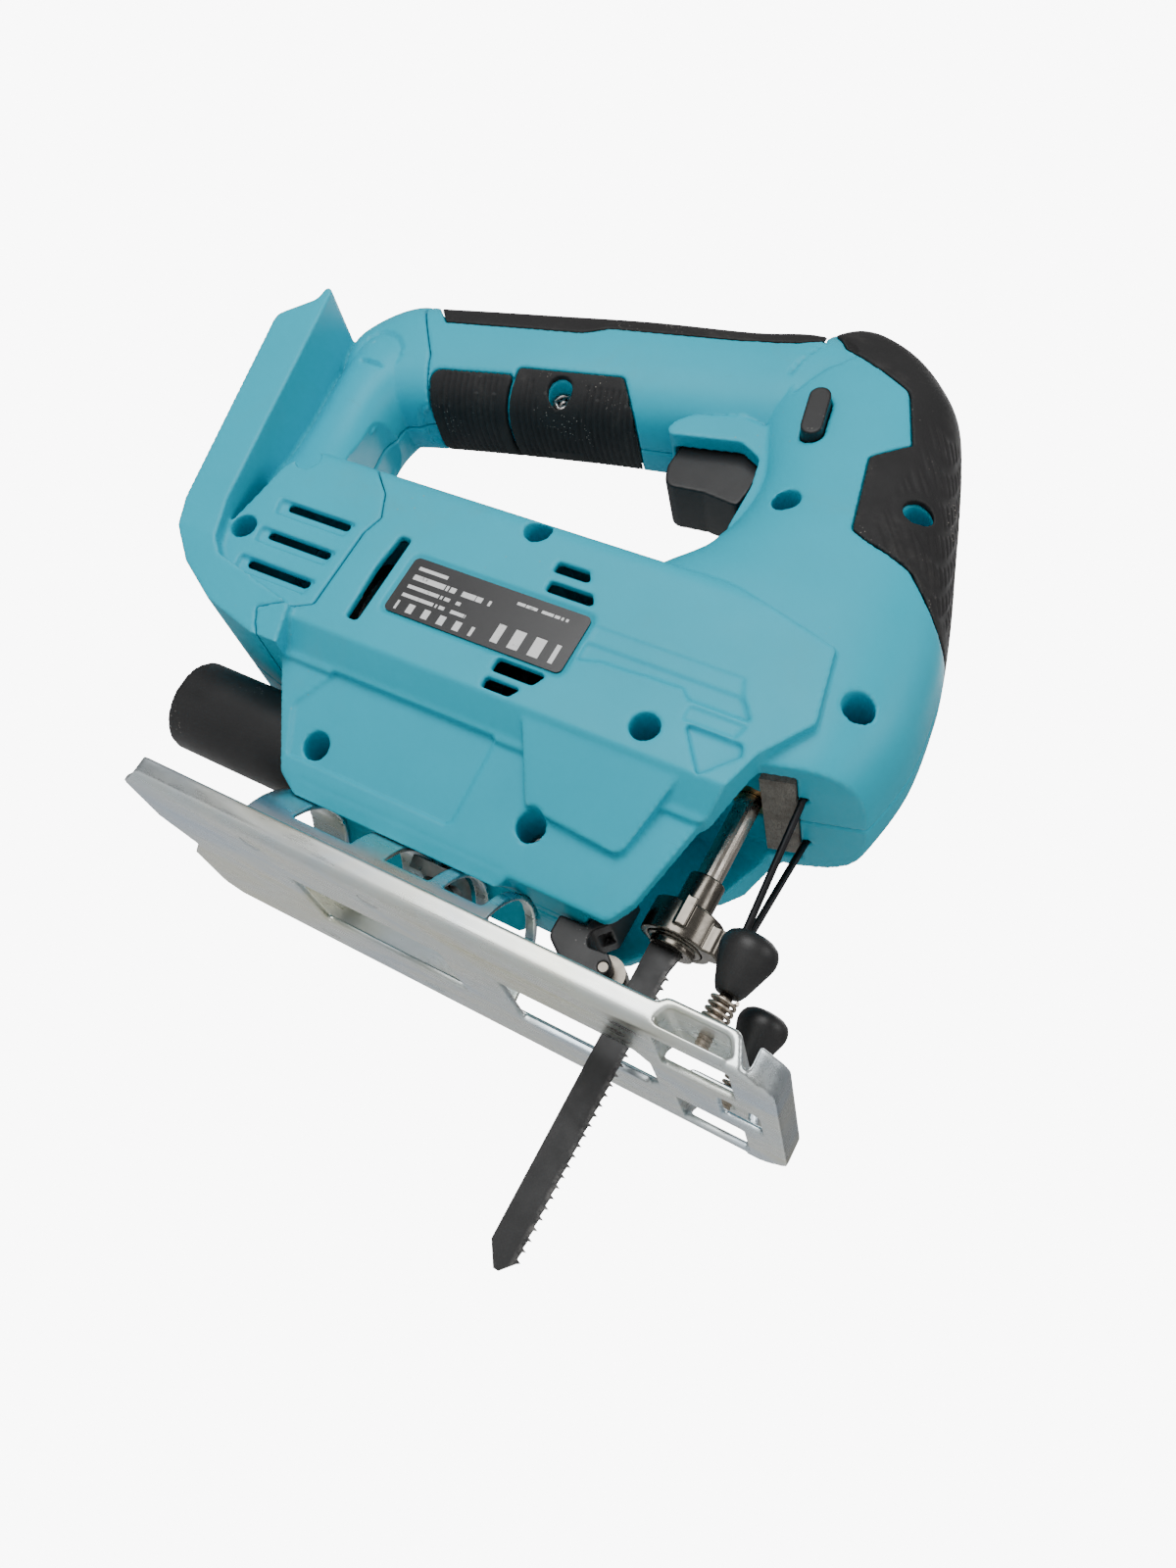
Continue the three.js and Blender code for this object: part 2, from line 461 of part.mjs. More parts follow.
function addHousing() {
  const whole = housing();
  const rightSide = box(-200, 200, -60, -SEAM, -10, 260);
  const leftSide = box(-200, 200, SEAM, 60, -10, 260);
  const rear = rearRegion(-SEAM);
  const front = rearRegion(SEAM);
  part("housing_right", cut(common(whole, rightSide), front), TURQUOISE);
  part("housing_left", cut(common(whole, leftSide), front), TURQUOISE);
  part("rear_housing_right", common(whole, rightSide, rear), TURQUOISE);
  part("rear_housing_left", common(whole, leftSide, rear), TURQUOISE);
  SCREWS.forEach((each) => part(each[0], screw(each), STEEL));
}

function addGrips() {
  const noseBores = join(...SCREWS.map(screwBore));
  part("nose_grip", cut(skin(NOSE_GRIP, nose(0), nose(GRIP_SKIN)), noseBores), RUBBER);
  part("handle_top_grip", cut(skin(TOP_GRIP, beam(0), beam(GRIP_SKIN)), across(grown(NOSE_GRIP, 2 * FIT)),
    nose(-FIT)), RUBBER);
  part("handle_grip_front", cut(skin(LOW_GRIP_FRONT, beam(0), beam(GRIP_SKIN)), noseBores), RUBBER);
  part("handle_grip_rear", skin(LOW_GRIP_REAR, beam(0), beam(GRIP_SKIN)), RUBBER);
  part("label_plate", prismY([[LABEL.x0, LABEL.z0, 1.6], [LABEL.x1, LABEL.z0, 1.6], [LABEL.x1, LABEL.z1, 1.6],
    [LABEL.x0, LABEL.z1, 1.6]], -BODY_HALF + 0.25, -BODY_HALF + LABEL.deep - 0.1), BLACK);
}

function addControls() {
  part("trigger", prismY(TRIGGER, -TRIGGER_HALF, TRIGGER_HALF), BLACK);
  part("switch_body", box(-17, 16, -9.5, 9.5, TRIGGER_TOP + TRIGGER_TRAVEL + 2.2, 194), BLACK);
  part("lock_button", lockShape(0, LOCK.reach), BLACK);
}

function addBatteryTerminals() {
  part("terminal_block", prismY([[-119.7, 121], [-115.2, 121], [-109.8, 96], [-114.3, 96]], -20, 20), BLACK);
  [["terminal_blade_right", -9], ["terminal_blade_left", 9]].forEach(([name, y]) =>
    part(name, prismY([[-123.6, 116], [-118.9, 116], [-115.1, 98], [-119.8, 98]], y - 0.5, y + 0.5), BRASS));
}

// ---- Motor and gears --------------------------------------------------------------------------
const PLATE_REAR = 10.5;
const PLATE_FRONT = 14.5;
const SHAFT_R = 2.5;

// A toothed wheel's outline in the Y-Z plane, with play at the flanks and the roots so that the teeth mesh freely.
function wheel(teeth, phase) {
  const pitchR = (MODULE * teeth) / 2;
  const corners = [];
  for (let k = 0; k < teeth; k++) {
    const middle = phase + (2 * Math.PI * k) / teeth;
    const tooth = Math.PI / teeth;
    [[-0.62, pitchR - 1.2 * MODULE], [-0.24, pitchR + 0.85 * MODULE], [0.24, pitchR + 0.85 * MODULE],
      [0.62, pitchR - 1.2 * MODULE]].forEach(([turn, r]) =>
      corners.push([r * Math.cos(middle + turn * tooth), r * Math.sin(middle + turn * tooth)]));
  }
  return corners;
}
const gearBlank = (teeth, phase, x0, x1, z) => prismX(wheel(teeth, phase), x0, x1).translate([0, 0, z]);

function addMotor() {
  const can = cut(rodX(MOTOR_REAR, MOTOR_FRONT, 0, MOTOR_Z, MOTOR_R, 28),
    rodX(MOTOR_REAR - 1, MOTOR_FRONT - 2, 0, MOTOR_Z, MOTOR_R - 1.6, 28),
    rodX(MOTOR_FRONT - 3, MOTOR_FRONT + 1, 0, MOTOR_Z, SHAFT_R + 1, 20));
  part("motor_can", can, STEEL);
  const cap = cut(
    join(rodX(MOTOR_REAR - 5, MOTOR_REAR - FIT, 0, MOTOR_Z, MOTOR_R - 1, 32),
      rodX(MOTOR_REAR - 10, MOTOR_REAR - 4, 0, MOTOR_Z, 6.5, 24)),
    rodX(MOTOR_REAR - 8, MOTOR_REAR + 1, 0, MOTOR_Z, SHAFT_R + SLIDE, 20));
  part("motor_end_cap", cap, BLACK);
  const shaft = join(
    rodX(MOTOR_REAR - 7.5, GEAR_FRONT + 1, 0, MOTOR_Z, SHAFT_R, 20),
    rodX(MOTOR_REAR + 10, MOTOR_FRONT - 7, 0, MOTOR_Z, MOTOR_R - 4, 24),
    rodX(MOTOR_REAR + 2, MOTOR_REAR + 10.5, 0, MOTOR_Z, 7, 24),
    gearBlank(PINION_TEETH, Math.PI / 2 + Math.PI / PINION_TEETH, GEAR_REAR, GEAR_FRONT, MOTOR_Z));
  part("armature_shaft", shaft, STEEL);
  const blades = Array.from({ length: 9 }, (_, k) =>
    box(-5.4, 0.5, -0.7, 0.7, 5, 16.6).rotate([(360 * k) / 9, 0, 0]).translate([0, 0, MOTOR_Z]));
  const fan = cut(join(rodX(-6.6, -5, 0, MOTOR_Z, 17, 24), rodX(-6.6, 1, 0, MOTOR_Z, 6, 24), ...blades),
    rodX(-8, 2, 0, MOTOR_Z, SHAFT_R + 0.1, 20));
  part("cooling_fan", fan, BLACK);
}

function addGearTrain() {
  const plate = cut(
    prismX(mirrored([[12, 61.5, 3], [18.4, 68, 3], [18.4, 106.5, 4]]), PLATE_REAR, PLATE_FRONT),
    rodX(PLATE_REAR - 1, PLATE_FRONT + 1, 0, MOTOR_Z, 6.4, 28),
    rodX(PLATE_REAR - 1, PLATE_FRONT + 1, 0, GEAR_Z, 3.2, 20));
  part("gear_plate", plate, ALUMINIUM);
  part("front_bearing", cut(rodX(PLATE_REAR, PLATE_FRONT, 0, MOTOR_Z, 6.2, 28),
    rodX(PLATE_REAR - 1, PLATE_FRONT + 1, 0, MOTOR_Z, SHAFT_R + SLIDE, 20)), STEEL);
  part("gear_axle", rodX(PLATE_REAR, GEAR_FRONT, 0, GEAR_Z, 3, 20), STEEL);
  const pinY = Math.sqrt(CRANK_THROW ** 2 - CRANK_DROP ** 2);
  const gear = cut(
    join(gearBlank(GEAR_TEETH, -Math.PI / 2, GEAR_REAR, GEAR_FRONT, GEAR_Z),
      rodX(GEAR_FRONT - 0.5, YOKE_REAR - 0.4, pinY, GEAR_Z - CRANK_DROP, CRANK_PIN_R, 20)),
    rodX(GEAR_REAR - 1, GEAR_FRONT + 1, 0, GEAR_Z, 3 + SLIDE, 20));
  part("drive_gear", gear, STEEL);
}

// ---- Plunger, clamp and blade -------------------------------------------------------------------
const YOKE_Z = GEAR_Z - CRANK_DROP;
function addPlunger() {
  const slot = box(YOKE_REAR - 1, YOKE_REAR + 5, -13.6, 13.6, YOKE_Z - CRANK_PIN_R - FIT, YOKE_Z + CRANK_PIN_R + FIT);
  const yoke = cut(box(YOKE_REAR, YOKE_REAR + 4.5, -16.5, 16.5, YOKE_Z - 7, YOKE_Z + 7), slot);
  const bridge = cut(box(YOKE_REAR + 4, PLUNGER_X, -6, 6, YOKE_Z - 7, YOKE_Z + 7),
    box(YOKE_REAR + 3, YOKE_REAR + 6, -7, 7, YOKE_Z - 3.1, YOKE_Z + 3.1));
  part("plunger", join(rodZ(PLUNGER_LOW, PLUNGER_TOP, PLUNGER_X, 0, PLUNGER_R, 24), yoke, bridge), STEEL);
  [["lower_bushing", LOWER_BUSH], ["upper_bushing", UPPER_BUSH]].forEach(([name, [low, high]]) =>
    part(name, cut(rodZ(low, high, PLUNGER_X, 0, BUSH_R, 28),
      rodZ(low - 1, high + 1, PLUNGER_X, 0, PLUNGER_R + SLIDE, 24)), BRASS));
  const felt = (x, up) => [x, noseFloor(x, up)];
  part("felt_plate", prismY([felt(FELT_REAR, 0.1), felt(FELT_FRONT, 0.1), felt(FELT_FRONT, 2.1), felt(FELT_REAR, 2.1)],
    -FELT_HALF, FELT_HALF), FELT);
}

function addBlade() {
  const front = BLADE_REAR + BLADE_WIDE;
  const corners = [[BLADE_REAR, BLADE_TIP + 5], [BLADE_REAR + 3.4, BLADE_TIP], [BLADE_REAR + 4.4, BLADE_TIP],
    [front - 0.9, BLADE_TIP + 3]];
  const teeth = Math.floor((26 - (BLADE_TIP + 4)) / TOOTH_PITCH);
  for (let k = 0; k < teeth; k++) {
    const z = BLADE_TIP + 3.6 + k * TOOTH_PITCH;
    corners.push([front, z], [front - 1.1, z + 0.5], [front - 0.9, z + TOOTH_PITCH - 0.3]);
  }
  corners.push([front, 27], [front, BLADE_TOP - 4], [front - 1.6, BLADE_TOP], [BLADE_REAR + 1.6, BLADE_TOP],
    [BLADE_REAR, BLADE_TOP - 4]);
  part("blade", prismY(corners, -BLADE_THICK / 2, BLADE_THICK / 2), DARK_STEEL);

  const slot = box(BLADE_REAR - FIT, front + FIT, -BLADE_THICK / 2 - FIT, BLADE_THICK / 2 + FIT, 20, BLADE_TOP + FIT);
  const clamp = cut(
    join(rodZ(CLAMP_LOW, 38.5, PLUNGER_X, 0, CLAMP_R, 28), rodZ(38, 47, PLUNGER_X, 0, 4.6, 24),
      rodZ(CLAMP_LOW - 1.8, CLAMP_LOW + 0.5, PLUNGER_X, 0, 5.6, 24)),
    slot, rodZ(PLUNGER_LOW - FIT, 48, PLUNGER_X, 0, PLUNGER_R + 0.1, 24));
  part("clamp_body", clamp, DARK_STEEL);
  const ear = prismZ([[-3, -11.4, 2], [3, -11.4, 2], [4, -4], [-4, -4]], CLAMP_LOW + 0.2, 36)
    .rotate([0, 0, 78]).translate([PLUNGER_X, 0, 0]);
  const key = box(PLUNGER_X - 1.4, PLUNGER_X + 1.4, -COLLAR_R - 0.7, -COLLAR_R + 1, 31.4, 39)
    .translate([-PLUNGER_X, 0, 0]).rotate([0, 0, 8]).translate([PLUNGER_X, 0, 0]);
  part("clamp_collar", cut(join(rodZ(CLAMP_LOW + 0.2, 37.6, PLUNGER_X, 0, COLLAR_R, 32), ear, key),
    rodZ(CLAMP_LOW - 1, 40, PLUNGER_X, 0, CLAMP_R + SLIDE, 28)), DARK_STEEL);
}

// ---- Blade guide and wire guard -------------------------------------------------------------------
const ROLLER_R = 4.6;
const ROLLER_X = BLADE_REAR - FIT - ROLLER_R;
const ROLLER_Z = 15.2;
function addRoller() {
  const fork = cut(
    prismY([[39, 36], [43, 36], [43, 25, 2], [39, 21, 3], [41, 18, 1], [46, 18.6, 1], [49, 15.6, 2.4],
      [46, 12.4, 2.4], [36.5, 12.4, 4], [31, 16.5, 3], [31, 22.2, 0.6], [38.2, 22.4, 0.6]], -8, 8),
    box(40.4, 55, -3.6, 3.6, 5, 25), rodY(-9, 9, ROLLER_X, ROLLER_Z, 1.3, 16));
  part("roller_fork", fork, BLACK);
  part("roller_pin", rodY(-7.8, 7.8, ROLLER_X, ROLLER_Z, 1.2, 16), STEEL);
  part("guide_roller", cut(rodY(-3.3, 3.3, ROLLER_X, ROLLER_Z, ROLLER_R, 28),
    rodY(-4, 4, ROLLER_X, ROLLER_Z, 1.2 + SLIDE, 16)), STEEL);
}

const guardBores = () => both((side) => rodZ(60, GUARD_Z + 6, GUARD_X, side * GUARD_HALF, WIRE_R + SLIDE, 12));
const GUARD_Z = noseFloor(GUARD_X, -WIRE_R - 0.5);
function tube(points, r, steps, sides) {
  const path = new THREE.CatmullRomCurve3(points.map((p) => new THREE.Vector3(...p)), false, "centripetal");
  return new THREE.ExtrudeGeometry(new THREE.Shape().absarc(0, 0, r, 0, Math.PI * 2),
    { extrudePath: path, steps, bevelEnabled: false, curveSegments: sides / 2 });
}
// One bent wire: both ends stand in the nose, and the legs draw together at the bottom.
function addWireGuard() {
  const half = [[GUARD_HALF, GUARD_Z + 4], [GUARD_HALF, GUARD_Z], [GUARD_HALF - 1.2, GUARD_Z - 2.4], [3, 39],
    [2.2, 35.5], [1.5, 34.4]];
  const points = [...half.map(([y, z]) => [GUARD_X, y, z]), [GUARD_X, 0, 33.8],
    ...half.map(([y, z]) => [GUARD_X, -y, z]).reverse()];
  const bar = rodY(-GUARD_HALF, GUARD_HALF, GUARD_X, GUARD_Z, WIRE_R, 8);
  part("wire_guard", join(solid(tube(points, WIRE_R, 30, 8)), bar), DARK_STEEL);
}

// ---- Base plate ---------------------------------------------------------------------------------
const BASE_OUTLINE = [
  [-71, 0], [BASE_REAR, -11], [BASE_REAR, -31.5, 3], [-71.5, -BASE_HALF, 3], [90, -BASE_HALF, 7], [BASE_FRONT, -30, 7],
  [BASE_FRONT, 30, 7], [90, BASE_HALF, 7], [-71.5, BASE_HALF, 3], [BASE_REAR, 31.5, 3], [BASE_REAR, 11],
];
const inward = BASE_OUTLINE.map(([x, y, r]) => [
  x > 0 ? x - SHEET : x + SHEET, y - Math.sign(y) * SHEET, r ? Math.max(r - SHEET, 0.8) : 0]);
const fenceX = (dx) => FENCE_X + dx;
function fenceArch(side) {
  const reach = FENCE_ARCH + SHEET;
  const crest = FENCE_RISE + SHEET;
  return sidePrism([[fenceX(-reach - 0.6), 0], [fenceX(reach + 0.6), 0], [fenceX(reach + 0.6), SHEET],
    [fenceX(reach - 2), crest, 2.5], [fenceX(-reach + 2), crest, 2.5], [fenceX(-reach - 0.6), SHEET]],
  side, WINDOW_HALF, BASE_HALF);
}
function fenceTunnel(side) {
  const under = (z) => [[fenceX(-FENCE_ARCH), z], [fenceX(FENCE_ARCH), z], [fenceX(FENCE_ARCH), SHEET + 0.2],
    [fenceX(FENCE_ARCH - 1.6), FENCE_RISE, 2], [fenceX(-FENCE_ARCH + 1.6), FENCE_RISE, 2],
    [fenceX(-FENCE_ARCH), SHEET + 0.2]];
  return join(sidePrism(under(-1), side, WINDOW_HALF - 1, BASE_HALF - 4.5),
    sidePrism(under(SHEET), side, WINDOW_HALF - 1, BASE_HALF + 1));
}
function basePlate() {
  const lip = (side) => join(
    box(LIP_REAR, LIP_FRONT, side < 0 ? -BASE_HALF : BASE_HALF - SHEET, side < 0 ? -BASE_HALF + SHEET : BASE_HALF,
      0, LIP_HEIGHT));
  const frontLip = common(cut(prismZ(BASE_OUTLINE, 0, 7.6), prismZ(inward, -1, 9)), box(90.8, 120, -60, 60, -1, 9));
  const grooves = (side) => box(17, 59, side * 28.5 - 0.6, side * 28.5 + 0.6, -1, SHEET + 1);
  const sheet = join(prismZ(BASE_OUTLINE, 0, SHEET), lip(-1), lip(1), frontLip, both(fenceArch));
  const rivetHoles = RIVET_XS.flatMap((x) => [-RIVET_Y, RIVET_Y].map((y) => rodZ(-1, 5, x, y, RIVET_R + 0.15, 20)));
  return cut(sheet, both(fenceTunnel), both(grooves), ...rivetHoles,
    prismZ([[-33, -WINDOW_HALF], [12, -WINDOW_HALF], [12, WINDOW_HALF], [-33, WINDOW_HALF]], -1, 3),
    prismZ([[27.5, -WINDOW_HALF, 1], [63, -WINDOW_HALF, 1], [66, -9], [66, 9], [63, WINDOW_HALF, 1],
      [27.5, WINDOW_HALF, 1]], -1, 3),
    prismZ([[82, -8.5, 1], [92, -8.5, 1], [92, 8.5, 1], [82, 8.5, 1]], -1, 3),
    both((side) => rodZ(-1, 12, FENCE_X, side * FENCE_Y, STEM_R + 0.6, 20)));
}

function bevelArch() {
  const z0 = SHEET + 0.1;
  const z1 = z0 + ARCH_SHEET;
  const shell = common(rodX(ARCH_REAR, ARCH_FRONT, 0, 0, ARCH_R, 48), box(-60, 30, -30, 30, z0, 30));
  const feet = box(ARCH_REAR, ARCH_FRONT, -ARCH_FOOT, ARCH_FOOT, z0, z1);
  const angle = THREE.MathUtils.degToRad(ARCH_SLOT_ANGLE);
  const slots = ARCH_SLOTS.map(([x0, x1]) => prismX([[0, 0], [40 * Math.sin(angle), 40 * Math.cos(angle)], [0, 60],
    [-40 * Math.sin(angle), 40 * Math.cos(angle)]], x0, x1));
  const rivetHoles = RIVET_XS.flatMap((x) => [-RIVET_Y, RIVET_Y].map((y) => rodZ(-1, 5, x, y, RIVET_R + 0.15, 20)));
  return cut(join(shell, feet), rodX(ARCH_REAR - 1, ARCH_FRONT + 1, 0, 0, ARCH_R - ARCH_SHEET, 48), ...slots,
    ...rivetHoles);
}

function addBase() {
  part("base_plate", basePlate(), ZINC);
  part("bevel_arch", bevelArch(), ZINC);
  RIVET_XS.forEach((x, i) => [["right", -RIVET_Y], ["left", RIVET_Y]].forEach(([side, y]) =>
    part(`rivet_${i ? "front" : "rear"}_${side}`,
      join(rodZ(0.15, 4, x, y, RIVET_R, 20), rodZ(SHEET + ARCH_SHEET + 0.25, RIVET_TOP, x, y, RIVET_HEAD_R, 20)), ZINC)));
  const shoe = common(cut(rodX(-9.4, 2.4, 0, 0, ARCH_R - ARCH_SHEET - FIT, 48), rodX(-10, 3, 0, 0, 19, 32)),
    prismX([[0, 0], [14, 30], [-14, 30]], -10, 3));
  part("bevel_clamp_shoe", cut(shoe, clampBore(), rodZ(10, 30, CLAMP_BOLT_X, 0, 2.7, 20)), STEEL);
  part("bevel_clamp_screw", cut(join(rodZ(16, 45, CLAMP_BOLT_X, 0, 2.4, 20), rodZ(13.4, 18, CLAMP_BOLT_X, 0, 4.4, 24)),
    cut(prismZ(hexagon(CLAMP_BOLT_X, 0, 2.4), 10, 16))), DARK_STEEL);
}
const hexagon = (x, y, r) => Array.from({ length: 6 }, (_, k) =>
  [x + r * Math.cos((Math.PI * k) / 3), y + r * Math.sin((Math.PI * k) / 3)]);

function addFenceScrews() {
  const knobProfile = [[0, 16.6], [2.9, 16.6], [3.7, 18], [6.4, 26], [6.4, 27.8], [5.5, 29.3], [3.4, 30.4], [0, 30.8]];
  [["right", -1], ["left", 1]].forEach(([side, sign]) => {
    const knob = new THREE.LatheGeometry(knobProfile.map(([r, z]) => new THREE.Vector2(r, z)), 18);
    knob.rotateX(Math.PI / 2).translate(FENCE_X, sign * FENCE_Y, 0);
    part(`fence_knob_${side}`, solid(knob), BLACK);
    part(`fence_stem_${side}`, rodZ(3, 16.4, FENCE_X, sign * FENCE_Y, STEM_R, 20), STEEL);
    const turns = 4;
    const coil = Array.from({ length: turns * 8 + 1 }, (_, k) => [
      FENCE_X + COIL_R * Math.cos((2 * Math.PI * k) / 8), sign * FENCE_Y + COIL_R * Math.sin((2 * Math.PI * k) / 8),
      8.9 + (7 * k) / (turns * 8)]);
    part(`fence_spring_${side}`, solid(tube(coil, COIL_WIRE_R, turns * 8, 6)), STEEL);
  });
}

function addDustPort() {
  const bore = rodX(PORT_REAR - 1, PORT_FRONT + 1, 0, PORT_Z, PORT_R - 2, 36);
  part("dust_port", cut(rodX(PORT_REAR, PORT_FRONT, 0, PORT_Z, PORT_R, 36), bore), BLACK);
}

addHousing();
addGrips();
addControls();
addBatteryTerminals();
addMotor();
addGearTrain();
addPlunger();
addBlade();
addRoller();
addWireGuard();
addBase();
addFenceScrews();
addDustPort();

export default group;
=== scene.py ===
"""Cordless D-handle jigsaw: moulded shells, grips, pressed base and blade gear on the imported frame."""

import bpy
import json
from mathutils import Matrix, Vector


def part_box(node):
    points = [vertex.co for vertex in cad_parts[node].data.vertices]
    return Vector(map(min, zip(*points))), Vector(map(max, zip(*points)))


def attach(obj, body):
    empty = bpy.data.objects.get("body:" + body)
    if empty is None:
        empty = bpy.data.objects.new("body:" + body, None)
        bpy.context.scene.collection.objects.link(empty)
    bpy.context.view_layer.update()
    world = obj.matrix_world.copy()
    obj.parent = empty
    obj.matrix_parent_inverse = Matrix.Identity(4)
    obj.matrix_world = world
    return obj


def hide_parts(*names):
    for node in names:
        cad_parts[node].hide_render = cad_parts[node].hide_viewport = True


bl_info = {
    "name": "Cordless Jigsaw",
    "version": (1, 0, 0),
    "blender": (4, 5, 0),
    "location": "3D View > Sidebar > Jigsaw",
    "description": "Builds the visible pieces of a cordless D-handle jigsaw",
    "category": "Object",
}

import json
import math

import bmesh
import bpy
import numpy as np
from bpy.props import FloatProperty, FloatVectorProperty, IntProperty, PointerProperty
from mathutils import Matrix, Vector
from mathutils.bvhtree import BVHTree

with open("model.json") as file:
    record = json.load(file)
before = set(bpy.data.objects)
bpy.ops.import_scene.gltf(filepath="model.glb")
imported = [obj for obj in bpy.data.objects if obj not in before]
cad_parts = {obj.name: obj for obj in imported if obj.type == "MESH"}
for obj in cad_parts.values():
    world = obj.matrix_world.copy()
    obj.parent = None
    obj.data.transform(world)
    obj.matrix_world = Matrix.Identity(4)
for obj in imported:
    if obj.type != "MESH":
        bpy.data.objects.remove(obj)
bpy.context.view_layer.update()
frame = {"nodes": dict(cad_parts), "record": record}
MM = 0.001


# ---- Fixed sizes, in millimetres where they are lengths -------------------------------------------

# Place of the datum that the rows and the fields of the grips are measured from.
DATUM_X = -20.0
FIT = 0.3
BASE_HALF = 38.0
LIP_BEND = 2.6
LIP_END = DATUM_X + 86.0
ARCH_RADII = (24.0, 22.5)
RIVET_SEAT = 3.75
PLUNGER_X = DATUM_X + 56.5
# Outline of a fence knob: radius and height.
KNOB = (
    (0, 16.6), (2.7, 16.6), (2.95, 16.9), (3.7, 18.2), (5.2, 22.4), (6.15, 25.2), (6.4, 26.2), (6.4, 27.4),
    (6.15, 28.4), (5.6, 29.4), (4.6, 30.1), (3, 30.55), (1.4, 30.75), (0, 30.8),
)
SPRING_FOOT = 8.9
PORT_Z = 35.6
PORT_RADII = (13.0, 11.0)
# Screw holes in the grips, along from the datum and up.
NOSE_SCREW = (66.0, 149.0)
HANDLE_SCREW = (-46.0, 162.5)
FLOOR_LOW = -53.2
# Half the floor's width and how high the lights aim, in metres.
FLOOR_REACH = 3.0
AIM_HEIGHT = 0.08
BACKDROP_STRENGTH = 9.0
# Light panels: name, place and size in metres, and share of the key light's power.
PANELS = (
    ("key light", (-0.1, -1.0, 0.42), 0.7, 1.0),
    ("front light", (0.95, -0.35, 0.5), 0.45, 0.3),
    ("rim light", (0.1, 0.7, 0.95), 0.6, 0.45),
)
# The lens length and shift are shares of the view's longer side.
LENS_LENGTH = 0.8337125
LENS_SHIFT = (0.05254375, -0.01783125)
CAMERA_TURN = (1.08668, 0.59647, 0.08197)
CAMERA_PLACE = (114.964, -289.317, -54.092)


# ---- Settings ------------------------------------------------------------------------------------


class JigsawFinish(bpy.types.PropertyGroup):
    """Colours and surface finish of the tool."""

    shell: FloatVectorProperty(
        name="Shell", description="Colour of the moulded shells", subtype="COLOR", size=3,
        min=0, max=1, default=(0.006, 0.37, 0.5))
    rubber: FloatVectorProperty(
        name="Rubber", description="Colour of the soft grips", subtype="COLOR", size=3,
        min=0, max=1, default=(0.014, 0.0136, 0.014))
    black: FloatVectorProperty(
        name="Black plastic", description="Colour of the trigger, knobs and tube", subtype="COLOR", size=3,
        min=0, max=1, default=(0.009, 0.009, 0.0095))
    shell_roughness: FloatProperty(
        name="Shell roughness", description="Roughness of the moulded shells", default=0.44, min=0, max=1,
        subtype="FACTOR")
    grime: FloatProperty(
        name="Grime", description="How strongly smudges and dust show", default=0.5, min=0, max=1,
        subtype="FACTOR")


def grid_size(name, text, millimetres):
    return FloatProperty(name=name, description=text, default=millimetres * MM, unit="LENGTH")


class JigsawDetail(bpy.types.PropertyGroup):
    """Sizes of the moulded detail."""

    shell_voxel: grid_size("Shell grid", "Grid that the shells are skinned on", 0.55)
    grip_voxel: grid_size("Grip grid", "Grid that the grips are skinned on", 0.42)
    sheet_voxel: grid_size("Sheet grid", "Grid that the pressed sheet is skinned on", 0.56)
    fine_voxel: grid_size("Fine grid", "Grid for the small metal parts", 0.26)
    rib_pitch: grid_size("Rib pitch", "Distance between ribs on the handle grips", 1.9)
    rib_depth: grid_size("Rib depth", "Depth of the grooves in the handle grips", 0.42)
    scale_pitch: grid_size("Scale pitch", "Distance between scales on the nose grip", 2.3)
    scale_depth: grid_size("Scale depth", "Depth between scales on the nose grip", 0.34)
    thread_pitch: grid_size("Thread pitch", "Pitch of the fence screws", 0.9)
    spring_turns: IntProperty(
        name="Spring turns", description="Turns in each fence spring", default=5, min=2, max=12)


class JigsawStage(bpy.types.PropertyGroup):
    """Floor, light and camera."""

    floor_tone: FloatProperty(
        name="Floor tone", description="Brightness of the floor", default=0.82, min=0, max=1)
    key_power: FloatProperty(
        name="Key light", description="Strength of the large soft light", default=11.0, min=0)
    world_strength: FloatProperty(
        name="Room light", description="Strength of the room light", default=0.34, min=0)


# ---- Shader node groups ---------------------------------------------------------------------------


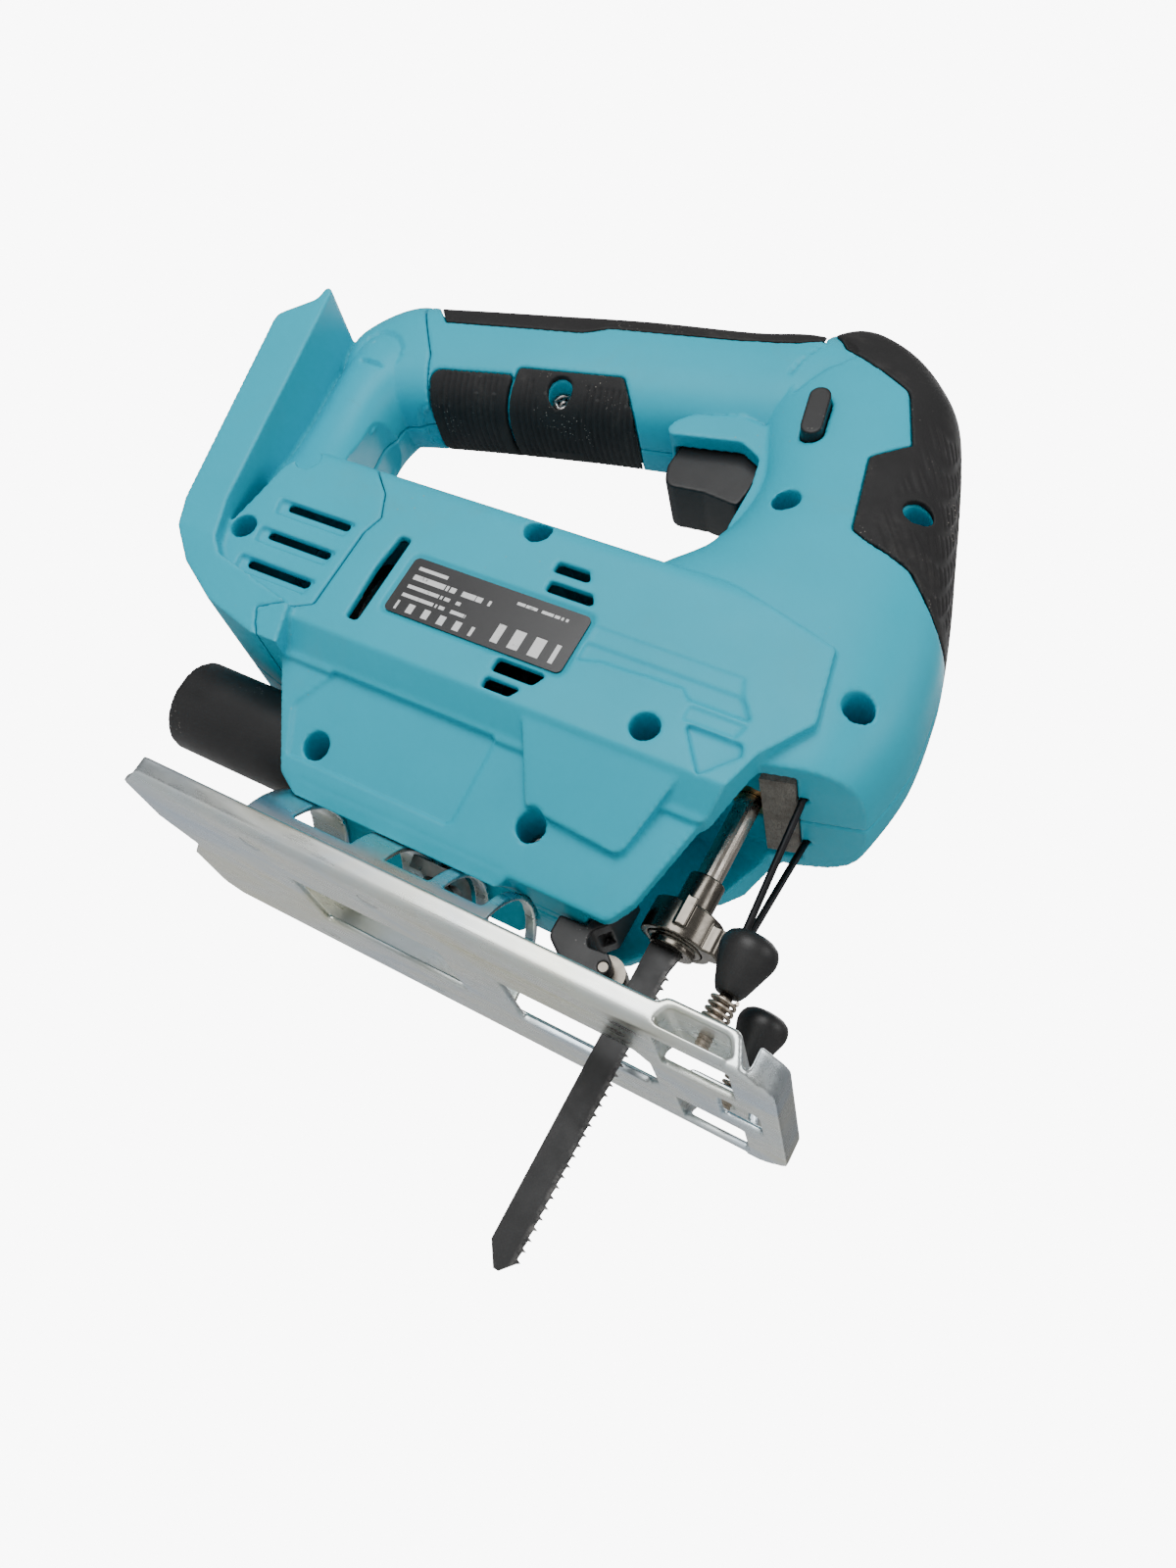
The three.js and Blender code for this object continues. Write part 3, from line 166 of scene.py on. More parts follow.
class Graph:
    """Short calls for building a node tree."""

    def __init__(self, tree):
        self.tree = tree

    def add(self, kind, **settings):
        node = self.tree.nodes.new(kind)
        for key, value in settings.items():
            setattr(node, key, value)
        return node

    def link(self, source, target):
        self.tree.links.new(source, target)

    def feed(self, target, value):
        if isinstance(value, bpy.types.NodeSocket):
            self.link(value, target)
        else:
            target.default_value = value

    def noise(self, vector, scale, detail=3.0, rough=0.5, distortion=0.0):
        node = self.add("ShaderNodeTexNoise")
        self.feed(node.inputs["Vector"], vector)
        self.feed(node.inputs["Scale"], scale)
        node.inputs["Detail"].default_value = detail
        node.inputs["Roughness"].default_value = rough
        node.inputs["Distortion"].default_value = distortion
        return node.outputs["Fac"]

    def cells(self, vector, scale):
        node = self.add("ShaderNodeTexVoronoi")
        self.feed(node.inputs["Vector"], vector)
        self.feed(node.inputs["Scale"], scale)
        return node

    def times(self, *values, clamp=False):
        """The product of two values or more."""
        product = values[0]
        for value in values[1:]:
            product = self.math("MULTIPLY", product, value, clamp)
        return product

    def math(self, operation, a, b=0.5, clamp=False):
        node = self.add("ShaderNodeMath", operation=operation, use_clamp=clamp)
        self.feed(node.inputs[0], a)
        if len(node.inputs) > 1:
            self.feed(node.inputs[1], b)
        return node.outputs[0]

    def ramp(self, value, low, high, out_low=0.0, out_high=1.0):
        node = self.add("ShaderNodeMapRange", clamp=True)
        self.feed(node.inputs["Value"], value)
        self.feed(node.inputs["From Min"], low)
        self.feed(node.inputs["From Max"], high)
        self.feed(node.inputs["To Min"], out_low)
        self.feed(node.inputs["To Max"], out_high)
        return node.outputs["Result"]

    def mix(self, factor, a, b, blend="MIX"):
        node = self.add("ShaderNodeMix", data_type="RGBA", blend_type=blend)
        self.feed(node.inputs["Factor"], factor)
        for socket, value in ((node.inputs[6], a), (node.inputs[7], b)):
            self.feed(socket, value if isinstance(value, bpy.types.NodeSocket) else (*value[:3], 1.0))
        return node.outputs[2]

    def stretched(self, vector, scale=(1, 1, 1), turn=(0, 0, 0)):
        node = self.add("ShaderNodeMapping")
        self.feed(node.inputs["Vector"], vector)
        node.inputs["Scale"].default_value = scale
        node.inputs["Rotation"].default_value = turn
        return node.outputs["Vector"]

    def bump(self, height, strength, distance):
        node = self.add("ShaderNodeBump")
        node.inputs["Strength"].default_value = strength
        node.inputs["Distance"].default_value = distance
        self.feed(node.inputs["Height"], height)
        return node.outputs["Normal"]

    def group(self, tree, **values):
        node = self.add("ShaderNodeGroup", node_tree=tree)
        for key, value in values.items():
            self.feed(node.inputs[key.replace("_", " ")], value)
        return node.outputs


def new_group(name, result, **defaults):
    """A shader node group with a Vector input, named numbers and one named result."""
    tree = bpy.data.node_groups.new(name, "ShaderNodeTree")
    tree.interface.new_socket("Vector", in_out="INPUT", socket_type="NodeSocketVector")
    for label, default in defaults.items():
        tree.interface.new_socket(label, in_out="INPUT", socket_type="NodeSocketFloat").default_value = default
    tree.interface.new_socket(result, in_out="OUTPUT", socket_type="NodeSocketFloat")
    g = Graph(tree)
    return tree, g, g.add("NodeGroupInput").outputs, g.add("NodeGroupOutput").inputs[result]


def smudge_group():
    """Soft patches of handling grime, as a mask."""
    tree, g, given, end = new_group("Handling Smudges", "Mask", Scale=30.0, Cover=0.5)
    broad = g.noise(given["Vector"], given["Scale"], 5.0, 0.62, 0.6)
    fine = g.noise(given["Vector"], g.times(given["Scale"], 7.0), 4.0, 0.7)
    broken = g.times(g.ramp(broad, 0.55, 0.75), g.ramp(fine, 0.35, 0.7))
    g.link(g.times(broken, given["Cover"], clamp=True), end)
    return tree


def speck_group():
    """Small sparse specks such as dust and saw chips, as a mask."""
    tree, g, given, end = new_group("Dust Specks", "Mask", Scale=700.0, Size=0.16, Cover=0.5)
    cell = g.cells(given["Vector"], given["Scale"])
    dot = g.math("LESS_THAN", cell.outputs["Distance"], given["Size"])
    patch = g.noise(given["Vector"], g.times(given["Scale"], 0.05), 2.0, 0.5)
    colour = g.add("ShaderNodeSeparateColor")
    g.link(cell.outputs["Color"], colour.inputs[0])
    rare = g.times(dot, g.ramp(patch, 0.58, 0.7), g.math("GREATER_THAN", colour.outputs[0], 0.55))
    g.link(g.times(rare, given["Cover"], clamp=True), end)
    return tree


def grain_group():
    """Spark-eroded mould grain, as a height."""
    tree, g, given, end = new_group("Mould Grain", "Height", Scale=2600.0)
    fine = g.noise(given["Vector"], given["Scale"], 2.0, 0.6)
    broad = g.noise(given["Vector"], g.times(given["Scale"], 0.12), 2.0, 0.5)
    g.link(g.math("ADD", fine, g.times(broad, 0.5)), end)
    return tree


def scratch_group():
    """Fine straight scratches along one direction, as a height."""
    tree, g, given, end = new_group("Fine Scratches", "Height", Scale=900.0)
    along = g.stretched(given["Vector"], (0.02, 1, 1))
    across = g.stretched(given["Vector"], (0.05, 1, 1), (0.3, 0.2, 0.5))
    first = g.ramp(g.noise(along, given["Scale"], 3.0, 0.7), 0.35, 0.65)
    second = g.ramp(g.noise(across, given["Scale"], 2.0, 0.6), 0.62, 0.72)
    g.link(g.math("ADD", first, g.times(second, 0.5)), end)
    return tree


GROUPS = {}
EFFECTS = {"smudge": smudge_group, "speck": speck_group, "grain": grain_group, "scratch": scratch_group}


def effect(name):
    if name not in GROUPS:
        GROUPS[name] = EFFECTS[name]()
    return GROUPS[name]


# ---- Materials -----------------------------------------------------------------------------------


class Surface(Graph):
    """The node tree of one material, with its shader and the piece's own coordinates."""

    def __init__(self, name, specular=None, metallic=None):
        self.material = bpy.data.materials.new(name)
        self.material.use_nodes = True
        self.material.node_tree.nodes.clear()
        super().__init__(self.material.node_tree)
        self.shader = self.add("ShaderNodeBsdfPrincipled")
        self.out = self.add("ShaderNodeOutputMaterial")
        self.link(self.shader.outputs[0], self.out.inputs[0])
        self.place = self.add("ShaderNodeTexCoord").outputs["Object"]
        if specular is not None:
            self.shader.inputs["Specular IOR Level"].default_value = specular
        if metallic is not None:
            self.shader.inputs["Metallic"].default_value = metallic

    def mottled(self, scale, detail, rough, dark, light, high=0.7):
        """Two colours that drift into each other."""
        return self.mix(self.ramp(self.noise(self.place, scale, detail, rough), 0.3, high), dark, light)

    def pointed(self):
        """High on outer edges and low in creases."""
        return self.add("ShaderNodeNewGeometry").outputs["Pointiness"]

    def smudge(self, scale, cover):
        return self.group(effect("smudge"), Vector=self.place, Scale=scale, Cover=cover)["Mask"]

    def specked(self, under, tone, scale, size, cover):
        """A colour with dust specks on it."""
        specks = self.group(effect("speck"), Vector=self.place, Scale=scale, Size=size, Cover=cover)["Mask"]
        return self.mix(specks, under, tone)

    def paint(self, colour):
        self.link(colour, self.shader.inputs["Base Color"])

    def gloss(self, low, high, scale, detail=4.0, dull=None, more=0.0, vector=None):
        """Roughness between low and high in patches, higher where the mask dull is."""
        where = self.place if vector is None else vector
        rough = self.ramp(self.noise(where, scale, detail, 0.6), 0.3, 0.7, low, high)
        if dull is not None:
            rough = self.math("ADD", rough, self.times(dull, more))
        self.link(rough, self.shader.inputs["Roughness"])

    def relief(self, kind, scale, strength, depth, vector=None):
        where = self.place if vector is None else vector
        height = self.group(effect(kind), Vector=where, Scale=scale)["Height"]
        self.link(self.bump(height, strength, depth * MM), self.shader.inputs["Normal"])


def shaded(colour, factor, more=0.0):
    return tuple(min(1.0, c * factor + more) for c in colour)


def shell_material():
    """Turquoise shell: satin plastic with paler worn edges, painted shade in its creases, brown smudges and
    fine dark scuffs.
    """
    look = bpy.context.scene.jigsaw_finish
    colour = tuple(look.shell)
    g = Surface("turquoise shell", specular=0.22)
    base = g.mottled(16.0, 4.0, 0.55, shaded(colour, 0.93), shaded(colour, 1.06), high=0.72)
    convex = g.pointed()
    edge = g.times(g.ramp(convex, 0.52, 0.6), g.ramp(g.noise(g.place, 240.0, 3.0, 0.6), 0.3, 0.75))
    worn = g.mix(g.times(edge, 0.35), base, (0.36, 0.72, 0.8))
    # Painted shade: creases and hollows, where pointiness is low, darken towards a dark copy of the shell
    # colour.
    crease_shaded = g.mix(g.ramp(convex, 0.485, 0.42, 0.0, 0.45), worn, shaded(colour, 0.35))
    smudge = g.smudge(24.0, look.grime)
    stained = g.mix(g.times(smudge, 0.35), crease_shaded, (0.2, 0.19, 0.12))
    streaks = g.noise(g.stretched(g.place, (0.25, 1, 1.6), (0.4, 0.1, 0.7)), 120.0, 6.0, 0.75)
    scuffed = g.mix(g.times(g.ramp(streaks, 0.66, 0.74), 0.25), stained, (0.05, 0.2, 0.25))
    g.paint(g.specked(scuffed, (0.3, 0.25, 0.16), 420.0, 0.13, look.grime))
    g.gloss(look.shell_roughness - 0.05, look.shell_roughness + 0.06, 45.0, 5.0, smudge, 0.15)
    g.relief("grain", 2400.0, 0.16, 0.05)
    return g.material


def black_material():
    """Hard black plastic: mould grain, uneven gloss, grime in patches and a little dust."""
    colour = tuple(bpy.context.scene.jigsaw_finish.black)
    g = Surface("black plastic", specular=0.35)
    base = g.mottled(22.0, 3.0, 0.5, shaded(colour, 0.9), shaded(colour, 1.07, 0.002))
    smudge = g.smudge(26.0, 0.35)
    stained = g.mix(g.times(smudge, 0.4), base, (0.12, 0.11, 0.1))
    g.paint(g.specked(stained, (0.5, 0.47, 0.42), 900.0, 0.2, 0.35))
    g.gloss(0.36, 0.49, 60.0, 4.0, smudge, 0.12)
    g.relief("grain", 2600.0, 0.3, 0.06)
    return g.material


def rubber_material():
    """Soft over-moulded rubber: matt, faintly mottled, with pale dust caught in the texture."""
    look = bpy.context.scene.jigsaw_finish
    colour = tuple(look.rubber)
    g = Surface("grip rubber", specular=0.25)
    base = g.mottled(40.0, 4.0, 0.6, shaded(colour, 0.85), shaded(colour, 1.2))
    rubbed = g.mix(g.ramp(g.pointed(), 0.52, 0.62, 0.0, 0.5), base, (0.06, 0.058, 0.056))
    dusty = g.mix(g.times(g.smudge(60.0, look.grime), 0.16), rubbed, (0.3, 0.28, 0.25))
    g.paint(g.specked(dusty, (0.5, 0.46, 0.4), 1300.0, 0.24, look.grime))
    g.gloss(0.6, 0.78, 90.0)
    g.relief("grain", 3200.0, 0.35, 0.05)
    return g.material


def zinc_material():
    """Bright zinc plating with faint blue and yellow passivation colours, drawing lines and scratches."""
    g = Surface("zinc plate", metallic=1.0)
    hue = g.noise(g.stretched(g.place, (0.5, 1, 1)), 30.0, 3.0, 0.55, 0.8)
    cool = g.mix(g.ramp(hue, 0.32, 0.5), (0.5, 0.6, 0.7), (0.66, 0.69, 0.66))
    tint = g.mix(g.ramp(hue, 0.52, 0.7), cool, (0.68, 0.66, 0.5))
    stain = g.smudge(50.0, 0.6)
    g.paint(g.mix(g.times(stain, 0.3), tint, (0.3, 0.28, 0.24)))
    g.gloss(0.22, 0.36, 260.0, 4.0, stain, 0.2, g.stretched(g.place, (0.15, 1, 1)))
    g.relief("scratch", 1100.0, 0.12, 0.04)
    return g.material


def metal(name, colour, roughness, along=(1, 1, 1), scratch=0.12, stain=(0.05, 0.045, 0.04), cover=0.4):
    """Plain metal with machining lines, oil stains and uneven polish."""
    g = Surface(name, metallic=1.0)
    base = g.mottled(90.0, 3.0, 0.6, shaded(colour, 0.85), shaded(colour, 1.12))
    mask = g.smudge(90.0, cover)
    g.paint(g.mix(mask, base, stain))
    g.gloss(max(0.05, roughness - 0.07), roughness + 0.08, 300.0, 4.0, mask, 0.2)
    g.relief("scratch", 1500.0, scratch, 0.03, g.stretched(g.place, along))
    return g.material


def blade_material():
    """Black-oxide blade steel, rubbed bright along its toothed edge."""
    g = Surface("blade steel", specular=0.3)
    base = g.mottled(70.0, 5.0, 0.65, (0.008, 0.008, 0.0085), (0.016, 0.0155, 0.016))
    axes = g.add("ShaderNodeSeparateXYZ")
    g.link(g.place, axes.inputs[0])
    cutting = g.ramp(axes.outputs["X"], (DATUM_X + 57.2) * MM, (DATUM_X + 58.8) * MM)
    rub = g.times(cutting, g.ramp(g.noise(g.place, 500.0, 3.0, 0.7), 0.42, 0.6), 0.3)
    bright = g.math("MAXIMUM", rub, g.ramp(g.pointed(), 0.6, 0.75, 0.0, 0.3), clamp=True)
    g.paint(g.mix(bright, base, (0.42, 0.4, 0.38)))
    g.link(g.times(bright, 0.8), g.shader.inputs["Metallic"])
    g.gloss(0.34, 0.5, 180.0)
    g.relief("scratch", 1400.0, 0.15, 0.03, g.stretched(g.place, (1, 1, 0.05)))
    return g.material


def felt_material():
    """Pressed felt under the nose, oily and fibrous."""
    g = Surface("pressed felt")
    fibre = g.noise(g.stretched(g.place, (1, 0.25, 1)), 1600.0, 4.0, 0.7, 1.5)
    patch = g.ramp(g.noise(g.place, 120.0, 3.0, 0.6), 0.45, 0.7, 0.0, 0.6)
    base = g.mix(g.ramp(fibre, 0.3, 0.7), (0.1, 0.09, 0.08), (0.25, 0.23, 0.2))
    g.paint(g.mix(patch, base, (0.07, 0.055, 0.045)))
    g.shader.inputs["Roughness"].default_value = 0.95
    g.link(g.bump(fibre, 0.8, 0.15 * MM), g.shader.inputs["Normal"])
    return g.material


# Bars printed on the label: left, right, low and high, each a share of the label's size.
LABEL_BARS = (
    (0.05, 0.22, 0.8, 0.86), (0.05, 0.5, 0.62, 0.71), (0.05, 0.36, 0.46, 0.52), (0.05, 0.42, 0.3, 0.36),
    (0.62, 0.9, 0.8, 0.85),
)


def label_material():
    """Black foil label with plain printed bars, each a stand-in for a line of print."""
    g = Surface("rating label")
    axes = g.add("ShaderNodeSeparateXYZ")
    g.link(g.place, axes.inputs[0])
    low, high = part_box("label_plate")
    x = g.ramp(axes.outputs["X"], low[0], high[0])
    z = g.ramp(axes.outputs["Z"], low[2], high[2])

    def within(x0, x1, z0, z1):
        inside = [g.math("GREATER_THAN", value, a) for value, a in ((x, x0), (z, z0))]
        inside += [g.math("LESS_THAN", value, b) for value, b in ((x, x1), (z, z1))]
        return g.times(*inside)

    def striped(count, gap):
        return g.math("GREATER_THAN", g.math("PINGPONG", g.times(x, count), 0.5), gap)

    words = g.math("GREATER_THAN", g.noise(g.stretched(g.place, (1, 1, 0.02)), 620.0, 1.0, 0.5), 0.41)
    printed = [g.times(within(*bar), words) for bar in LABEL_BARS]
    printed.append(g.times(within(0.05, 0.5, 0.06, 0.22), striped(11.0, 0.3)))
    printed.append(g.times(within(0.6, 0.94, 0.1, 0.42), striped(9.0, 0.24)))
    ink = printed[0]
    for mark in printed[1:]:
        ink = g.math("MAXIMUM", ink, mark)
    worn = g.times(ink, g.ramp(g.noise(g.place, 500.0, 3.0, 0.6), 0.25, 0.4))
    g.paint(g.mix(worn, (0.014, 0.014, 0.015), (0.62, 0.62, 0.62)))
    g.gloss(0.3, 0.42, 80.0, 3.0)
    return g.material


MATERIALS = {}


METALS = {
    "steel": ("screw steel", (0.34, 0.33, 0.32), 0.34),
    "shaft": ("ground shaft", (0.46, 0.41, 0.36), 0.24, (1, 1, 0.3), 0.15, (0.06, 0.045, 0.035), 0.9),
    "gunmetal": ("gunmetal", (0.15, 0.135, 0.115), 0.24, (1, 1, 1), 0.12, (0.03, 0.027, 0.024), 0.7),
    "wire": ("blackened wire", (0.03, 0.03, 0.032), 0.4, (1, 1, 0.3), 0.1, (0.02, 0.02, 0.02), 0.3),
    "brass": ("brass", (0.55, 0.36, 0.14), 0.32),
    "alloy": ("cast alloy", (0.42, 0.42, 0.43), 0.5, (1, 1, 1), 0.5),
    "spring": ("spring wire", (0.42, 0.36, 0.3), 0.34),
}
OTHER_FINISHES = {
    "shell": shell_material, "rubber": rubber_material, "black": black_material, "zinc": zinc_material,
    "blade": blade_material, "felt": felt_material, "label": label_material,
}


def finish(name):
    """The material of that name, built on first use."""
    if name not in MATERIALS:
        MATERIALS[name] = metal(*METALS[name]) if name in METALS else OTHER_FINISHES[name]()
    return MATERIALS[name]


# ---- Mesh tools ----------------------------------------------------------------------------------


def new_piece(name, mesh, material, body, *nodes, slot=None):
    """Puts a mesh in the scene as a piece that rides on a body and stands for CAD nodes."""
    made = bpy.data.objects.new(name, mesh)
    bpy.context.scene.collection.objects.link(made)
    mesh.materials.clear()
    mesh.materials.append(finish(material) if isinstance(material, str) else material)
    for face in mesh.polygons:
        face.use_smooth = True
    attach(made, body)
    if nodes:
        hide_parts(*nodes)
    return made


def merged_copy(node):
    """A copy of a CAD node's mesh with its loose triangles joined up."""
    whole = bmesh.new()
    whole.from_mesh(frame["nodes"][node].data)
    bmesh.ops.remove_doubles(whole, verts=whole.verts, dist=0.002 * MM)
    mesh = bpy.data.meshes.new(node)
    whole.to_mesh(mesh)
    whole.free()
    return mesh


def evaluated(mesh, *modifiers):
    """The mesh with modifiers applied. Each is (kind, settings)."""
    holder = bpy.data.objects.new("holder", mesh)
    bpy.context.scene.collection.objects.link(holder)
    for kind, settings in modifiers:
        modifier = holder.modifiers.new(kind, kind)
        for key, value in settings.items():
            setattr(modifier, key, value)
    graph = bpy.context.evaluated_depsgraph_get()
    result = bpy.data.meshes.new_from_object(holder.evaluated_get(graph))
    bpy.data.objects.remove(holder)
    return result


def points_of(mesh):
    flat = np.empty(len(mesh.vertices) * 3, np.float32)
    mesh.vertices.foreach_get("co", flat)
    return flat.reshape(-1, 3).astype(np.float64)


def normals_of(mesh):
    flat = np.empty(len(mesh.vertices) * 3, np.float32)
    mesh.vertices.foreach_get("normal", flat)
    return flat.reshape(-1, 3).astype(np.float64)


def move_points(mesh, points):
    mesh.vertices.foreach_set("co", points.astype(np.float32).ravel())
    mesh.update()


def smoothstep(value, low, high):
    t = np.clip((value - low) / (high - low), 0.0, 1.0)
    return t * t * (3 - 2 * t)


def snap_round(points, normals, rounds):
    """Pulls points on a faceted round surface out to its true radius. Each is (axis, centre, radius)."""
    for axis, centre, radius in rounds:
        others = [i for i in range(3) if i != axis]
        offset = points[:, others] - np.array([centre[i] for i in others]) * MM
        reach = np.hypot(offset[:, 0], offset[:, 1])
        facing = np.abs((normals[:, others] * offset).sum(1)) / np.maximum(reach, 1e-9)
        limit = max(0.12, 0.022 * radius) * MM
        near = (np.abs(reach - radius * MM) < limit) & (facing > 0.9)
        factor = np.ones(len(points))
        factor[near] = radius * MM / reach[near]
        for k, i in enumerate(others):
            points[:, i] = offset[:, k] * factor + centre[i] * MM
    return points


def snap_guides(points, normals, guides, reach=1.1 * MM):
    """Pulls points near a smooth guide surface onto it."""
    for tree, low, high in guides:
        inside = np.all((points > low) & (points < high), axis=1)
        for i in np.nonzero(inside)[0]:
            found = tree.find_nearest(Vector(points[i]), reach)
            if found[0] is None:
                continue
            if abs(found[1].dot(Vector(normals[i]))) > 0.92:
                points[i] = found[0]
    return points


def moulded(node, voxel, passes=4, rounds=(), guides=(), faces=180000, shape=None):
    """A soft-edged copy of a CAD node, skinned on a fine grid and trued to its round and lofted surfaces."""
    size = voxel * 1.0
    mesh = evaluated(merged_copy(node), ("REMESH", {"mode": "VOXEL", "voxel_size": size, "adaptivity": 0.0}))
    points, normals = points_of(mesh), normals_of(mesh)
    points = snap_round(points, normals, rounds)
    points = snap_guides(points, normals, guides)
    move_points(mesh, points)
    steps = max(1, round(passes / (1)))
    mesh = evaluated(mesh, ("SMOOTH", {"factor": 0.5, "iterations": steps}))
    if shape:
        move_points(mesh, shape(points_of(mesh), normals_of(mesh)))
    triangles = sum(len(face.vertices) - 2 for face in mesh.polygons)
    if triangles > faces:
        mesh = evaluated(mesh, ("DECIMATE", {"ratio": faces / triangles}))
    mesh.name = node
    return mesh


def superellipse(count, a, b, n):
    angle = 2 * np.pi * np.arange(count) / count
    c, s = np.cos(angle), np.sin(angle)
    return a * np.sign(c) * np.abs(c) ** (2 / n), b * np.sign(s) * np.abs(s) ** (2 / n)


def smooth_rows(rows, steps=6):
    """Rows of numbers with smooth in-between rows added."""
    rows = np.array(rows, float)
    out = []
    for i in range(len(rows) - 1):
        before = rows[max(i - 1, 0)]
        a, b = rows[i], rows[i + 1]
        after = rows[min(i + 2, len(rows) - 1)]
        for k in range(steps):
            t = k / steps
            out.append(0.5 * (2 * a + (b - before) * t + (2 * before - 5 * a + 4 * b - after) * t * t
                              + (3 * a - before - 3 * b + after) * t ** 3))
    out.append(rows[-1])
    return np.array(out)


def guide_surface(rings):
    """A search tree over a surface skinned through rings of points, with its bounds grown a little."""
    count = len(rings[0])
    points = np.concatenate(rings) * MM
    quads = []
    for s in range(0, (len(rings) - 1) * count, count):
        for k in range(count):
            n = (k + 1) % count
            quads.append((s + k, s + n, s + count + n, s + count + k))
    grow = 1.5 * MM
    return BVHTree.FromPolygons([Vector(p) for p in points], quads), points.min(0) - grow, points.max(0) + grow


# Sections of the nose: height, rear, front, half width, squareness.
NOSE_ROWS = [
    (68, 42, 82, 26.5, 3.2), (76, 34, 85.4, 28.2, 3.2), (92, 14, 88.4, 30, 3.1), (110, 6, 87.2, 29.4, 3),
    (122, 14, 84.8, 28.2, 2.9), (135, 20, 81.2, 26.8, 2.8), (150, 21, 76.4, 25, 2.8),
    (165, 15, 71.6, 23.4, 2.8), (180, 8, 66.4, 21.9, 2.7), (192, 6, 61.2, 20.1, 2.6),
    (201, 9, 54.4, 17.4, 2.4), (208.5, 13, 46.4, 13.8, 2.3), (214, 17, 37.4, 9.8, 2.2), (217.5, 21, 31, 5.6, 2),
]
# Sections of the handle: place along, height, half height, half width.
BEAM_ROWS = [
    (-121, 153, 6, 11), (-117, 157, 14, 16), (-106, 163, 20.6, 18), (-92, 167, 20.4, 18), (-60, 174, 20.2, 18),
    (-30, 180, 20.4, 18), (0, 184.6, 20.2, 18.4), (20, 187.4, 21.2, 19.5), (40, 186, 19.4, 18),
]
HANDLE_LEAN = 0.17
# Sections of the rear column: height, middle, length, half width.
COLUMN_ROWS = [
    (98, -99, 26, 23), (110, -101, 20, 20), (126, -105, 16, 17.5), (142, -107, 15, 17.5), (158, -106, 18, 18),
    (168, -106, 14, 16),
]


def nose_guide():
    rings = []
    for z, rear, front, half, n in smooth_rows(NOSE_ROWS):
        x, y = superellipse(120, (front - rear) / 2, half, n)
        rings.append(np.column_stack([x + DATUM_X + (rear + front) / 2, y, np.full(120, z)]))
    return guide_surface(rings)


def beam_guide():
    up = np.array([-math.sin(HANDLE_LEAN), 0, math.cos(HANDLE_LEAN)])
    rings = []
    for x, z, high, wide in smooth_rows(BEAM_ROWS):
        across, rise = superellipse(120, wide, high, 2.7)
        ring = np.array([x + DATUM_X, 0, z]) + across[:, None] * np.array([0, 1, 0]) + rise[:, None] * up
        rings.append(ring)
    return guide_surface(rings)


def column_guide():
    rings = []
    for z, x, long, wide in smooth_rows(COLUMN_ROWS):
        a, b = superellipse(120, long / 1.25, wide, 2.6)
        rings.append(np.column_stack([a + x + DATUM_X, b, np.full(120, z)]))
    return guide_surface(rings)


GUIDES = {}


def guides(*names):
    makers = {"nose": nose_guide, "beam": beam_guide, "column": column_guide}
    for name in names:
        if name not in GUIDES:
            GUIDES[name] = makers[name]()
    return [GUIDES[name] for name in names]


# ---- Geometry node trees -------------------------------------------------------------------------


def new_tree(name, inputs):
    """A geometry tree with named inputs, each (name, kind, default): (tree, graph, inputs, output node)."""
    tree = bpy.data.node_groups.new(name, "GeometryNodeTree")
    kinds = {"value": "NodeSocketFloat", "whole": "NodeSocketInt", "vector": "NodeSocketVector"}
    tree.interface.new_socket("Geometry", in_out="INPUT", socket_type="NodeSocketGeometry")
    for label, kind, default in inputs:
        tree.interface.new_socket(label, in_out="INPUT", socket_type=kinds[kind]).default_value = default
    tree.interface.new_socket("Material", in_out="INPUT", socket_type="NodeSocketMaterial")
    tree.interface.new_socket("Geometry", in_out="OUTPUT", socket_type="NodeSocketGeometry")
    graph = Graph(tree)
    return tree, graph, graph.add("NodeGroupInput").outputs, graph.add("NodeGroupOutput")


def close_tree(g, shape, start, end):
    """Ends a tree in Realize Instances and Set Material."""
    real = g.add("GeometryNodeRealizeInstances")
    g.link(shape, real.inputs["Geometry"])
    paint = g.add("GeometryNodeSetMaterial")
    g.link(real.outputs["Geometry"], paint.inputs["Geometry"])
    g.link(start["Material"], paint.inputs["Material"])
    g.link(paint.outputs["Geometry"], end.inputs["Geometry"])


def grown_from(mesh, tree, material, **values):
    """The plain mesh that a geometry tree makes from a mesh."""
    holder = bpy.data.objects.new("holder", mesh)
    bpy.context.scene.collection.objects.link(holder)
    modifier = holder.modifiers.new("nodes", "NODES")
    modifier.node_group = tree
    named = {item.name: item.identifier for item in tree.interface.items_tree if item.in_out == "INPUT"}
    for key, value in {**values, "Material": finish(material)}.items():
        modifier[named[key.replace("_", " ")]] = value
    graph = bpy.context.evaluated_depsgraph_get()
    result = bpy.data.meshes.new_from_object(holder.evaluated_get(graph))
    bpy.data.objects.remove(holder)
    return result


def dots(name, places, **lists):
    """A mesh of loose points with named numbers on them."""
    mesh = bpy.data.meshes.new(name)
    mesh.from_pydata([tuple(p) for p in places], [], [])
    for key, numbers in lists.items():
        mesh.attributes.new(key, "FLOAT", "POINT").data.foreach_set("value", [float(n) for n in numbers])
    return mesh


def placed(g, shape, points, turn=(0, 0, 0), scale=None):
    """A shape set on every point."""
    node = g.add("GeometryNodeInstanceOnPoints")
    g.link(points, node.inputs["Points"])
    g.link(shape, node.inputs["Instance"])
    node.inputs["Rotation"].default_value = turn
    if scale is not None:
        g.link(scale, node.inputs["Scale"])
    return node.outputs["Instances"]


def number_on_points(g, name):
    node = g.add("GeometryNodeInputNamedAttribute", data_type="FLOAT")
    node.inputs["Name"].default_value = name
    return node.outputs["Attribute"]


def stretched_up(g, name):
    """A scale that stretches an instance along its own length by a number on its point."""
    node = g.add("ShaderNodeCombineXYZ")
    node.inputs["X"].default_value = 1.0
    node.inputs["Y"].default_value = 1.0
    g.link(number_on_points(g, name), node.inputs["Z"])
    return node.outputs[0]


